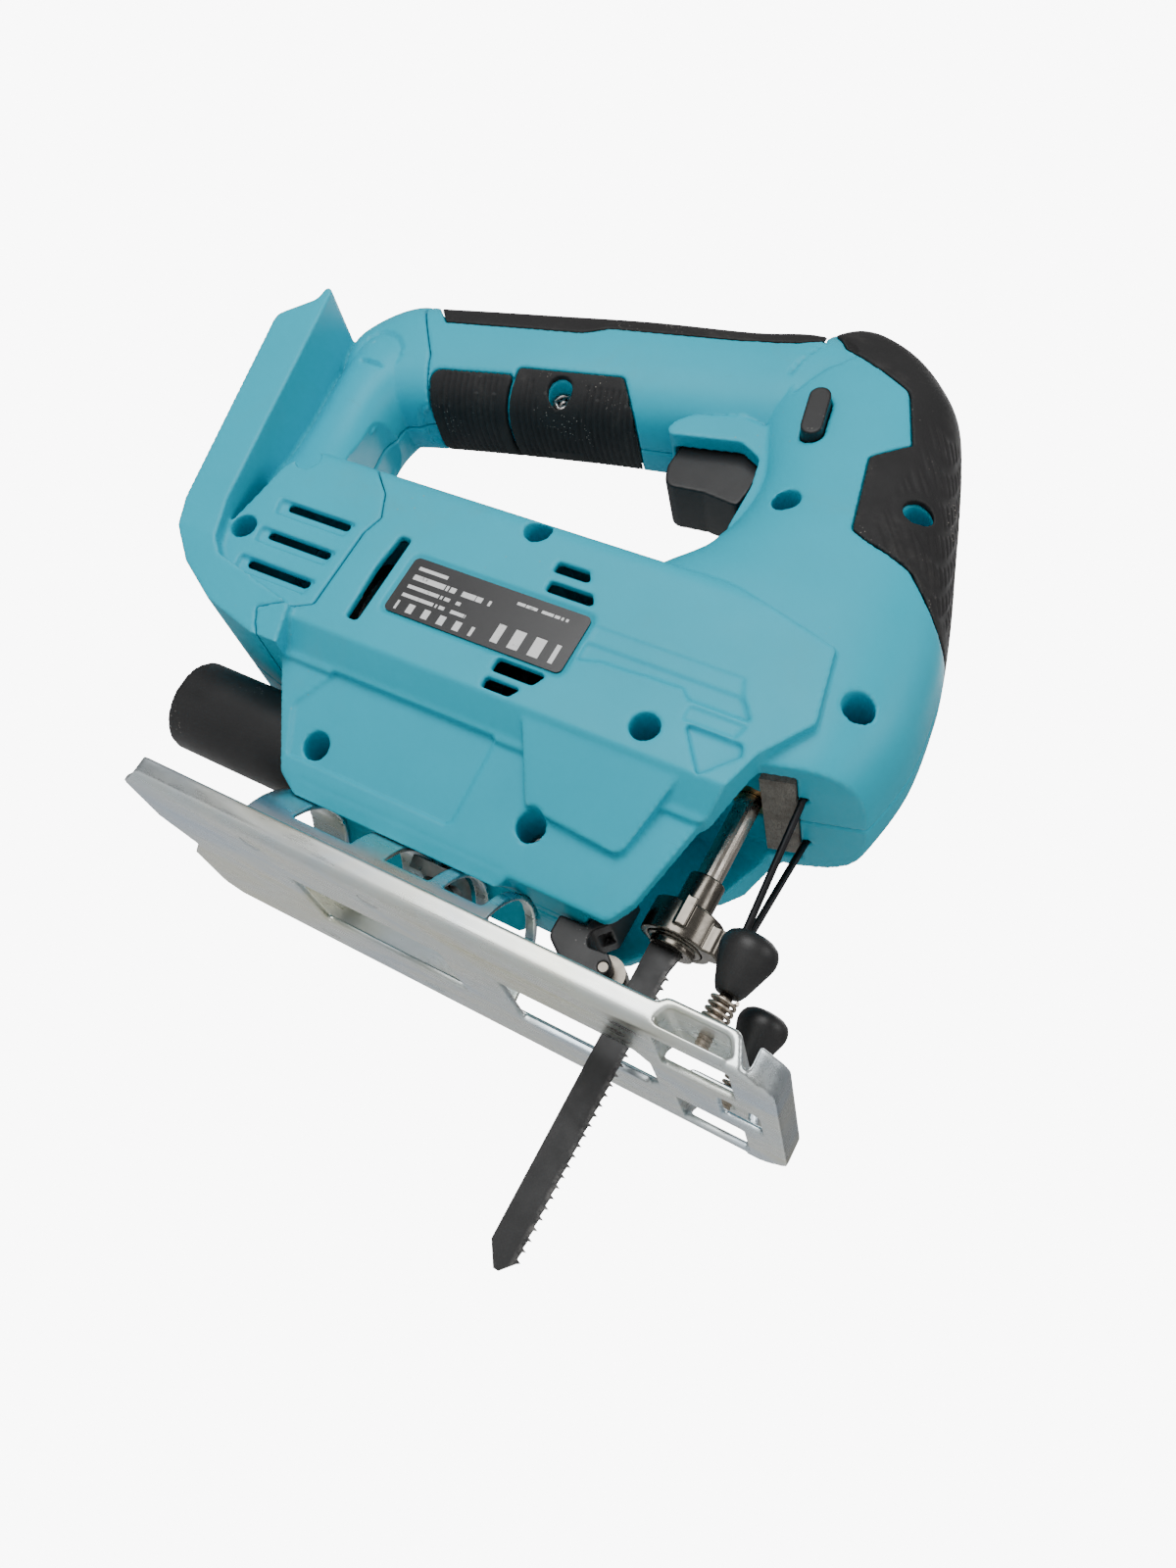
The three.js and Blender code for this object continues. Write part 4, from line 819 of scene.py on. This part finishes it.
def cone(g, low, high, depth, lift, sides=40):
    """A round bar or cone from its two radii, moved along its length."""
    node = g.add("GeometryNodeMeshCone")
    node.inputs["Vertices"].default_value = sides
    for key, value in (("Radius Top", high), ("Radius Bottom", low), ("Depth", depth)):
        g.feed(node.inputs[key], value)
    move = g.add("GeometryNodeTransform")
    g.link(node.outputs["Mesh"], move.inputs["Geometry"])
    offset = g.add("ShaderNodeCombineXYZ")
    g.feed(offset.inputs["Z"], lift)
    g.link(offset.outputs[0], move.inputs["Translation"])
    return move.outputs["Geometry"]


def joined(g, *shapes):
    node = g.add("GeometryNodeJoinGeometry")
    for shape in shapes:
        g.link(shape, node.inputs["Geometry"])
    return node.outputs["Geometry"]


def screw_tree():
    """Cross-recess screws, each standing on its head's outer face and pointing along its own Z."""
    tree, g, start, end = new_tree("Recessed Screws", [
        ("Head Radius", "value", 3.3 * MM), ("Head Height", "value", 2.4 * MM),
        ("Shank Radius", "value", 1.5 * MM)])
    radius, height = start["Head Radius"], start["Head Height"]
    rim = cone(g, radius, g.times(radius, 0.86), g.times(height, 0.35), g.times(height, -0.35))
    drum = cone(g, radius, radius, g.times(height, 0.65), g.times(height, -1.0))
    cross = []
    for wide, long in (("X", "Y"), ("Y", "X")):
        size = g.add("ShaderNodeCombineXYZ")
        g.link(g.times(radius, 0.26), size.inputs[wide])
        g.link(g.times(radius, 1.2), size.inputs[long])
        g.link(height, size.inputs["Z"])
        bar = g.add("GeometryNodeMeshCube")
        g.link(size.outputs[0], bar.inputs["Size"])
        cross.append(bar.outputs["Mesh"])
    recessed = []
    for shape in (rim, drum):
        cut = g.add("GeometryNodeMeshBoolean", operation="DIFFERENCE", solver="EXACT")
        g.link(shape, cut.inputs[0])
        for bar in cross:
            g.link(bar, cut.inputs[1])
        recessed.append(cut.outputs[0])
    inward = (math.pi / 2, 0, 0)
    heads = placed(g, joined(g, *recessed), start["Geometry"], inward)
    shank = cone(g, start["Shank Radius"], start["Shank Radius"], 1.0, -1.0, 16)
    shanks = placed(g, shank, start["Geometry"], inward, stretched_up(g, "long"))
    close_tree(g, joined(g, heads, shanks), start, end)
    return tree


def rivet_tree():
    """Domed rivets standing on the underside of their heads."""
    tree, g, start, end = new_tree("Domed Rivets", [
        ("Head Radius", "value", 3 * MM), ("Head Height", "value", 0.55 * MM),
        ("Shank Radius", "value", 2.6 * MM), ("Length", "value", 3.6 * MM)])
    radius, height = start["Head Radius"], start["Head Height"]
    low = cone(g, radius, g.times(radius, 0.9), g.times(height, 0.6), 0.0)
    dome = cone(g, g.times(radius, 0.9), g.times(radius, 0.5), g.times(height, 0.4), g.times(height, 0.6))
    inner, length = start["Shank Radius"], start["Length"]
    shank = cone(g, inner, inner, length, g.times(length, -1.0))
    close_tree(g, placed(g, joined(g, low, dome, shank), start["Geometry"]), start, end)
    return tree


def swept(g, curve, radius, sides):
    """A round wire along a curve, closed at both ends."""
    ring = g.add("GeometryNodeCurvePrimitiveCircle")
    g.feed(ring.inputs["Resolution"], sides)
    g.link(radius, ring.inputs["Radius"])
    sweep = g.add("GeometryNodeCurveToMesh")
    g.link(curve, sweep.inputs["Curve"])
    g.link(ring.outputs[0], sweep.inputs["Profile Curve"])
    sweep.inputs["Fill Caps"].default_value = True
    return sweep.outputs["Mesh"]


def coil_tree():
    """Coil springs or screw threads: a round or sharp wire wound up from every point."""
    tree, g, start, end = new_tree("Wound Wire", [
        ("Turns", "value", 5.0), ("Coil Radius", "value", 2.7 * MM), ("Wire Radius", "value", 0.45 * MM),
        ("Height", "value", 7 * MM), ("Sides", "whole", 10)])
    spiral = g.add("GeometryNodeCurveSpiral")
    spiral.inputs["Resolution"].default_value = 28
    g.link(start["Turns"], spiral.inputs["Rotations"])
    g.link(start["Coil Radius"], spiral.inputs["Start Radius"])
    g.link(start["Coil Radius"], spiral.inputs["End Radius"])
    g.link(start["Height"], spiral.inputs["Height"])
    wire = swept(g, spiral.outputs[0], start["Wire Radius"], start["Sides"])
    close_tree(g, placed(g, wire, start["Geometry"]), start, end)
    return tree


def wire_tree():
    """A round wire swept along a mesh of joined edges."""
    tree, g, start, end = new_tree("Swept Wire", [("Wire Radius", "value", 0.9 * MM)])
    path = g.add("GeometryNodeMeshToCurve")
    g.link(start["Geometry"], path.inputs["Mesh"])
    close_tree(g, swept(g, path.outputs[0], start["Wire Radius"], 20), start, end)
    return tree


def rib_tree():
    """Ribs or scales pressed into a skin, where the number "pressed" on its points allows them."""
    tree, g, start, end = new_tree("Pressed Ribs", [
        ("Direction", "vector", (1, 0, 0)), ("Second Direction", "vector", (0, 0, 1)),
        ("Pitch", "value", 1.9 * MM), ("Depth", "value", 0.42 * MM), ("Second Depth", "value", 0.0)])
    place = g.add("GeometryNodeInputPosition").outputs[0]
    depth = None
    for direction, deep in (("Direction", "Depth"), ("Second Direction", "Second Depth")):
        dot = g.add("ShaderNodeVectorMath", operation="DOT_PRODUCT")
        g.link(place, dot.inputs[0])
        g.link(start[direction], dot.inputs[1])
        phase = g.math("PINGPONG", g.math("DIVIDE", dot.outputs["Value"], start["Pitch"]), 0.5)
        groove = g.add("ShaderNodeMapRange", interpolation_type="SMOOTHSTEP", clamp=True)
        g.link(phase, groove.inputs["Value"])
        for key, value in (("From Min", 0.06), ("From Max", 0.3), ("To Min", 1.0), ("To Max", 0.0)):
            groove.inputs[key].default_value = value
        cut = g.times(groove.outputs["Result"], start[deep])
        depth = cut if depth is None else g.math("MAXIMUM", depth, cut)
    sunk = g.times(depth, number_on_points(g, "pressed"), -1.0)
    push = g.add("ShaderNodeVectorMath", operation="SCALE")
    g.link(g.add("GeometryNodeInputNormal").outputs[0], push.inputs[0])
    g.link(sunk, push.inputs["Scale"])
    moved = g.add("GeometryNodeSetPosition")
    g.link(start["Geometry"], moved.inputs["Geometry"])
    g.link(push.outputs[0], moved.inputs["Offset"])
    close_tree(g, moved.outputs["Geometry"], start, end)
    return tree


# ---- Operators -----------------------------------------------------------------------------------


def centre_of(node):
    low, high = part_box(node)
    return (np.array(low) + np.array(high)) / 2


def lathe(name, profile, foot, sides=72):
    """A turned solid about Z from (radius, height) pairs in millimetres that start and end on the axis."""
    profile = np.array(profile, float) * MM
    angle = 2 * np.pi * np.arange(sides) / sides
    across, along = np.cos(angle), np.sin(angle)
    rings = [np.column_stack([r * across, r * along, np.full(sides, h)]) for r, h in profile[1:-1]]
    count = len(rings)
    points = np.concatenate(rings + [[[0, 0, profile[0][1]]], [[0, 0, profile[-1][1]]]])
    first, last = count * sides, count * sides + 1
    faces = []
    for k in range(sides):
        n = (k + 1) % sides
        faces.append((first, n, k))
        faces.append((last, (count - 1) * sides + k, (count - 1) * sides + n))
        for s in range(count - 1):
            faces.append((s * sides + k, s * sides + n, (s + 1) * sides + n, (s + 1) * sides + k))
    mesh = bpy.data.meshes.new(name)
    mesh.from_pydata((points + np.array(foot)).tolist(), [], faces)
    mesh.update()
    return mesh


class JIGSAW_OT_screws(bpy.types.Operator):
    """Housing screws deep in their holes"""

    bl_idname = "jigsaw.screws"
    bl_label = "Housing screws"

    def execute(self, context):
        names = [n for n in frame["nodes"] if n.startswith("screw_")]
        boxes = [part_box(n) for n in names]
        places = [((a[0] + b[0]) / 2, a[1], (a[2] + b[2]) / 2) for a, b in boxes]
        marks = dots("screw dots", places, long=[b[1] - a[1] for a, b in boxes])
        mesh = grown_from(marks, screw_tree(), "steel")
        new_piece("housing_screws", mesh, "steel", "housing", *names, slot="steel")
        return {"FINISHED"}


class JIGSAW_OT_base(bpy.types.Operator):
    """Pressed base plate, bevel arch and rivets"""

    bl_idname = "jigsaw.base"
    bl_label = "Base"

    def execute(self, context):
        grid = context.scene.jigsaw_detail.sheet_voxel
        sheet = moulded("base_plate", grid, faces=190000, shape=self.bent)
        new_piece("pressed_base", sheet, "zinc", "base", "base_plate", slot="zinc_steel")
        arch = moulded("bevel_arch", grid * 0.8, rounds=[(0, (0, 0, 0), r) for r in ARCH_RADII], faces=150000)
        new_piece("pressed_arch", arch, "zinc", "base", "bevel_arch", slot="zinc_steel")
        names = [n for n in frame["nodes"] if n.startswith("rivet_")]
        boxes = [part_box(n) for n in names]
        places = [((a[0] + b[0]) / 2, (a[1] + b[1]) / 2, RIVET_SEAT * MM) for a, b in boxes]
        mesh = grown_from(dots("rivet dots", places), rivet_tree(), "zinc")
        new_piece("base_rivets", mesh, "zinc", "base", *names, slot="zinc_steel")
        return {"FINISHED"}

    def bent(self, points, normals):
        """Rounds the outer bend between the sole and its side lips."""
        bend, half = LIP_BEND * MM, BASE_HALF * MM
        side = np.sign(points[:, 1])
        dy = np.abs(points[:, 1]) - (half - bend)
        dz = bend - points[:, 2]
        reach = np.hypot(dy, dz)
        outer = (dy > 0) & (dz > 0) & (reach > bend) & (points[:, 0] < LIP_END * MM)
        factor = np.where(outer, bend / np.maximum(reach, 1e-9), 1.0)
        points[:, 1] = np.where(outer, side * (half - bend + dy * factor), points[:, 1])
        points[:, 2] = np.where(outer, bend - dz * factor, points[:, 2])
        return points


class JIGSAW_OT_fence(bpy.types.Operator):
    """Fence screws with turned knobs, threaded stems and springs"""

    bl_idname = "jigsaw.fence"
    bl_label = "Fence screws"

    def execute(self, context):
        detail = context.scene.jigsaw_detail
        coil = coil_tree()
        feet = []
        for side in ("right", "left"):
            middle = centre_of(f"fence_stem_{side}")
            foot = (middle[0], middle[1], 0.0)
            feet.append((middle[0], middle[1], SPRING_FOOT * MM))
            body = f"fence_screw_{side}"
            made = evaluated(lathe("knob", KNOB, foot), ("BEVEL", {"width": 0.2 * MM, "segments": 2}))
            new_piece(f"knob_{side}", made, "black", body, f"fence_knob_{side}", slot="black_plastic")
            low, high = (corner[2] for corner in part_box(f"fence_stem_{side}"))
            rise = high - low - 1.2 * MM
            start = dots("stem", [(middle[0], middle[1], low + 0.6 * MM)])
            thread = grown_from(start, coil, "spring", Turns=rise / detail.thread_pitch, Coil_Radius=1.45 * MM,
                                Wire_Radius=0.24 * MM, Height=rise, Sides=6)
            bottom, top = low / MM, high / MM
            outline = [(0, bottom), (1.3, bottom), (1.5, bottom + 0.3), (1.5, top), (0, top)]
            core = lathe("core", outline, foot, sides=32)
            whole = bmesh.new()
            whole.from_mesh(thread)
            whole.from_mesh(core)
            stem = bpy.data.meshes.new("stem")
            whole.to_mesh(stem)
            whole.free()
            new_piece(f"stem_{side}", stem, "spring", body, f"fence_stem_{side}", slot="steel")
        springs = grown_from(dots("springs", feet), coil, "spring", Turns=float(detail.spring_turns),
                             Coil_Radius=2.7 * MM, Wire_Radius=0.42 * MM, Height=7 * MM, Sides=12)
        nodes = ("fence_spring_right", "fence_spring_left")
        new_piece("fence_springs", springs, "spring", "base", *nodes, slot="steel")
        return {"FINISHED"}


class JIGSAW_OT_working_end(bpy.types.Operator):
    """Blade clamp, collar, guide roller and wire guard"""

    bl_idname = "jigsaw.working_end"
    bl_label = "Working end"

    def execute(self, context):
        grid = context.scene.jigsaw_detail.fine_voxel
        for name, node, body, radii in (("collar", "clamp_collar", "clamp_collar", (8.9,)),
                                        ("clamp", "clamp_body", "plunger", (6.8, 4.6, 5.6))):
            rounds = [(2, (PLUNGER_X, 0, 0), r) for r in radii]
            mesh = moulded(node, grid, 3, rounds, faces=90000)
            new_piece(name, mesh, "gunmetal", body, node, slot="dark_steel")
        fork = moulded("roller_fork", grid, faces=90000)
        new_piece("fork", fork, "black", "housing", "roller_fork", slot="black_plastic")
        self.add_guard()
        return {"FINISHED"}

    def add_guard(self):
        """One bent wire: both ends stand in the nose and the legs draw together at the bottom."""
        low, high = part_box("wire_guard")
        x = (low[0] + high[0]) / 2
        wire = 0.9 * MM
        half = high[1] - wire
        top = high[2]
        shoulder = [(half - dy * MM, top - dz * MM) for dy, dz in ((0, 0), (0, 2.6), (0.25, 3.8), (1.2, 6.4))]
        leg = shoulder + [(3 * MM, 39 * MM), (2.2 * MM, 35.8 * MM), (1.2 * MM, low[2] + 1.1 * MM)]
        row = smooth_rows(leg + [(0, low[2] + wire)] + [(-y, z) for y, z in reversed(leg)], 8)
        mesh = bpy.data.meshes.new("guard path")
        mesh.from_pydata([(x, y, z) for y, z in row], [(k, k + 1) for k in range(len(row) - 1)], [])
        guard = grown_from(mesh, wire_tree(), "wire", Wire_Radius=wire)
        new_piece("guard", guard, "wire", "housing", "wire_guard", slot="dark_steel")


class JIGSAW_OT_controls(bpy.types.Operator):
    """Trigger, lock button and dust tube"""

    bl_idname = "jigsaw.controls"
    bl_label = "Controls"

    def execute(self, context):
        tube = [(0, (0, 0, PORT_Z), r) for r in PORT_RADII]
        for node, voxel, rounds in (("trigger", 0.34, ()), ("lock_button", 0.3, ()), ("dust_port", 0.5, tube)):
            mesh = moulded(node, voxel * MM, 5, rounds, faces=120000)
            new_piece(f"soft_{node}", mesh, "black", node, node, slot="black_plastic")
        return {"FINISHED"}


class JIGSAW_OT_shells(bpy.types.Operator):
    """Moulded shells of the body, gear housing and battery mount"""

    bl_idname = "jigsaw.shells"
    bl_label = "Shells"

    def execute(self, context):
        grid = context.scene.jigsaw_detail.shell_voxel
        smooth = guides("nose", "beam", "column")
        rounds = [(0, (0, 0, PORT_Z), PORT_RADII[0] + FIT)]
        for side in ("right", "left"):
            for node in (f"housing_{side}", f"rear_housing_{side}"):
                mesh = moulded(node, grid, 4, rounds, smooth, 195000)
                new_piece(f"shell_{node}", mesh, "shell", "housing", node, slot="turquoise_plastic")
        return {"FINISHED"}


class JIGSAW_OT_grips(bpy.types.Operator):
    """Soft grips with ribs on the handle and scales on the nose"""

    bl_idname = "jigsaw.grips"
    bl_label = "Grips"

    def execute(self, context):
        detail = context.scene.jigsaw_detail
        ribs = rib_tree()
        fields = {"nose_grip": self.nose_field, "handle_top_grip": self.no_field,
                  "handle_grip_front": self.front_field, "handle_grip_rear": self.rear_field}
        for node in fields:
            mesh = moulded(node, detail.grip_voxel, 3, (), guides("nose", "beam"), 190000)
            pressed = fields[node](*(points_of(mesh) / MM - np.array([DATUM_X, 0, 0])).T)
            numbers = mesh.attributes.new("pressed", "FLOAT", "POINT")
            numbers.data.foreach_set("value", pressed.astype(np.float32))
            if node == "nose_grip":
                mesh = grown_from(mesh, ribs, "rubber", Direction=(0.62, 0.62, 0.48),
                                  Second_Direction=(0.62, -0.62, 0.48), Pitch=detail.scale_pitch,
                                  Depth=detail.scale_depth, Second_Depth=detail.scale_depth)
            else:
                mesh = grown_from(mesh, ribs, "rubber", Direction=(0.99, 0.0, 0.14), Pitch=detail.rib_pitch,
                                  Depth=detail.rib_depth)
            new_piece(f"soft_{node}", mesh, "rubber", "housing", node, slot="black_rubber")
        return {"FINISHED"}

    def nose_field(self, x, y, z):
        """Scales over the middle of the nose grip, with a smooth border."""
        side = smoothstep(z, 128 + np.maximum(0, 66 - x) * 0.25, 136) * (1 - smoothstep(z, 158, 164))
        edge = x - (84 - 0.22 * (z - 120))
        front = smoothstep(edge, -16, -12) * smoothstep(z, 124, 128) * (1 - smoothstep(z, 178, 184))
        scales = np.clip(np.maximum(side * smoothstep(x, 58, 61), front), 0, 1)
        return scales * self.round_screw(x, y, z, NOSE_SCREW, 5.6, 7.0, 6)

    def round_screw(self, x, y, z, screw, near, far, deep):
        """Nothing near a screw hole in the side."""
        clear = smoothstep(np.hypot(x - screw[0], z - screw[1]), near, far)
        return np.where(np.abs(y) > deep, clear, 1)

    def no_field(self, x, y, z):
        """The top strip is smooth."""
        return np.zeros(len(x))

    def front_field(self, x, y, z):
        """Ribs round the lower half of the handle, fading towards the screw hole and the strip's ends."""
        rise = HANDLE_SCREW[1] + HANDLE_LEAN * (x + 60)
        ends = smoothstep(x, -58.6, -57.4) * (1 - smoothstep(x + (z - 150) * 0.75, -12.5, -11))
        ribs = ends * (1 - smoothstep(z, rise - 1.5, rise))
        return ribs * self.round_screw(x, y, z, HANDLE_SCREW, 7.0, 8.2, 5)

    def rear_field(self, x, y, z):
        """Ribs round the lower half of the handle's rear sleeve."""
        rise = 161.5 + HANDLE_LEAN * (x + 70)
        ends = smoothstep(x, -83.5, -82) * (1 - smoothstep(x, -64.6, -63.4))
        return ends * (1 - smoothstep(z, rise - 3, rise - 1.5))


class JIGSAW_OT_carried(bpy.types.Operator):
    """Finishes for the CAD nodes that show as they are"""

    bl_idname = "jigsaw.carried"
    bl_label = "Carried-over nodes"

    def execute(self, context):
        finishes = {
            "turquoise_plastic": "shell", "black_rubber": "rubber", "black_plastic": "black",
            "zinc_steel": "zinc", "steel": "steel", "dark_steel": "gunmetal", "aluminium": "alloy",
            "brass": "brass", "felt": "felt",
        }
        special = {"label_plate": "label", "blade": "blade", "plunger": "shaft", "wire_guard": "wire",
                   "guide_roller": "gunmetal", "roller_pin": "gunmetal"}
        slots = {row["node"]: row["material_slot"] for row in frame["record"]["subparts"]}
        for node, made in frame["nodes"].items():
            material = finish(special.get(node) or finishes[slots[node]])
            made.data.materials.clear()
            made.data.materials.append(material)
        return {"FINISHED"}


class JIGSAW_OT_stage(bpy.types.Operator):
    """Pale floor, soft studio light and the camera"""

    bl_idname = "jigsaw.stage"
    bl_label = "Stage"

    def execute(self, context):
        settings = context.scene.jigsaw_stage
        self.add_floor(settings)
        self.add_light(settings)
        self.add_camera()
        return {"FINISHED"}

    def add_floor(self, settings):
        """A floor that shows from above and lets a low camera look up through it."""
        mesh = bpy.data.meshes.new("floor")
        corners = np.array([(-1, -1, 0), (1, -1, 0), (1, 1, 0), (-1, 1, 0)]) * FLOOR_REACH
        mesh.from_pydata((corners + [0, 0, FLOOR_LOW * MM]).tolist(), [], [(0, 1, 2, 3)])
        g = Surface("studio floor")
        tone = settings.floor_tone
        drift = g.ramp(g.noise(g.place, 3.0, 2.0, 0.5), 0.3, 0.7, tone * 0.97, tone)
        colour = g.add("ShaderNodeCombineColor")
        for socket in colour.inputs:
            g.link(drift, socket)
        g.paint(colour.outputs[0])
        g.shader.inputs["Roughness"].default_value = 0.7
        back = g.add("ShaderNodeNewGeometry").outputs["Backfacing"]
        self.choose(g, back, g.shader, g.add("ShaderNodeBsdfTransparent"), g.out)
        mesh.materials.append(g.material)
        floor = bpy.data.objects.new("studio_floor", mesh)
        bpy.context.scene.collection.objects.link(floor)

    def choose(self, g, factor, first, second, out):
        """Shows the first shader where the factor is 0 and the second where it is 1."""
        mixed = g.add("ShaderNodeMixShader")
        for k, socket in enumerate((factor, first.outputs[0], second.outputs[0])):
            g.link(socket, mixed.inputs[k])
        g.link(mixed.outputs[0], out.inputs[0])

    def add_light(self, settings):
        world = bpy.data.worlds.new("studio room")
        bpy.context.scene.world = world
        world.use_nodes = True
        world.node_tree.nodes.clear()
        g = Graph(world.node_tree)
        axes = g.add("ShaderNodeSeparateXYZ")
        g.link(g.add("ShaderNodeTexCoord").outputs["Generated"], axes.inputs[0])
        height = g.ramp(axes.outputs["Z"], -0.25, 0.35)
        lit = g.add("ShaderNodeBackground")
        g.link(g.mix(height, (0.1, 0.11, 0.12), (1.0, 1.0, 1.0)), lit.inputs["Color"])
        lit.inputs["Strength"].default_value = settings.world_strength
        seen = g.add("ShaderNodeBackground")
        seen.inputs["Color"].default_value = (1, 1, 1, 1)
        seen.inputs["Strength"].default_value = BACKDROP_STRENGTH
        direct = g.add("ShaderNodeLightPath").outputs["Is Camera Ray"]
        self.choose(g, direct, lit, seen, g.add("ShaderNodeOutputWorld"))
        for name, place, size, share in PANELS:
            self.add_panel(name, place, size, settings.key_power * share)

    def add_panel(self, name, place, size, power):
        """A square light panel aimed at the tool."""
        lamp = bpy.data.lights.new(name, "AREA")
        lamp.size = size
        lamp.energy = power
        made = bpy.data.objects.new(name, lamp)
        bpy.context.scene.collection.objects.link(made)
        made.location = place
        aim = Vector((0, 0, AIM_HEIGHT)) - Vector(place)
        made.rotation_euler = aim.to_track_quat("-Z", "Y").to_euler()

    def add_camera(self):
        lens = bpy.data.cameras.new("camera")
        lens.sensor_fit = "AUTO"
        lens.sensor_width = 36.0
        lens.lens = lens.sensor_width * LENS_LENGTH
        lens.shift_x, lens.shift_y = LENS_SHIFT
        lens.clip_start = 0.01
        made = bpy.data.objects.new("camera", lens)
        bpy.context.scene.collection.objects.link(made)
        turn = Vector(CAMERA_TURN)
        to_camera = Matrix.Rotation(turn.length, 3, turn.normalized())
        flip = Matrix(((1, 0, 0), (0, -1, 0), (0, 0, -1)))
        turned = (to_camera.transposed() @ flip).to_4x4()
        made.matrix_world = Matrix.Translation(Vector(CAMERA_PLACE) * MM) @ turned
        bpy.context.scene.camera = made


class JIGSAW_PT_panel(bpy.types.Panel):
    """Settings and build steps"""

    bl_label = "Jigsaw"
    bl_idname = "JIGSAW_PT_panel"
    bl_space_type = "VIEW_3D"
    bl_region_type = "UI"
    bl_category = "Jigsaw"

    def draw(self, context):
        for group in ("jigsaw_finish", "jigsaw_detail", "jigsaw_stage"):
            settings = getattr(context.scene, group)
            box = self.layout.box()
            for key in settings.__annotations__:
                box.prop(settings, key)
        for step in STEPS:
            self.layout.operator(step.bl_idname)


STEPS = (
    JIGSAW_OT_carried, JIGSAW_OT_shells, JIGSAW_OT_grips, JIGSAW_OT_screws, JIGSAW_OT_base,
    JIGSAW_OT_fence, JIGSAW_OT_working_end, JIGSAW_OT_controls, JIGSAW_OT_stage,
)
SETTINGS = {"jigsaw_finish": JigsawFinish, "jigsaw_detail": JigsawDetail, "jigsaw_stage": JigsawStage}


def register():
    for group in SETTINGS.values():
        bpy.utils.register_class(group)
    for name, group in SETTINGS.items():
        setattr(bpy.types.Scene, name, PointerProperty(type=group))
    for step in STEPS:
        bpy.utils.register_class(step)
    bpy.utils.register_class(JIGSAW_PT_panel)


def unregister():
    bpy.utils.unregister_class(JIGSAW_PT_panel)
    for step in reversed(STEPS):
        bpy.utils.unregister_class(step)
    for name in SETTINGS:
        delattr(bpy.types.Scene, name)
    for group in reversed(list(SETTINGS.values())):
        bpy.utils.unregister_class(group)


def main():
    register()
    for step in STEPS:
        family, name = step.bl_idname.split(".")
        getattr(getattr(bpy.ops, family), name)()


if __name__ == "__main__":
    main()
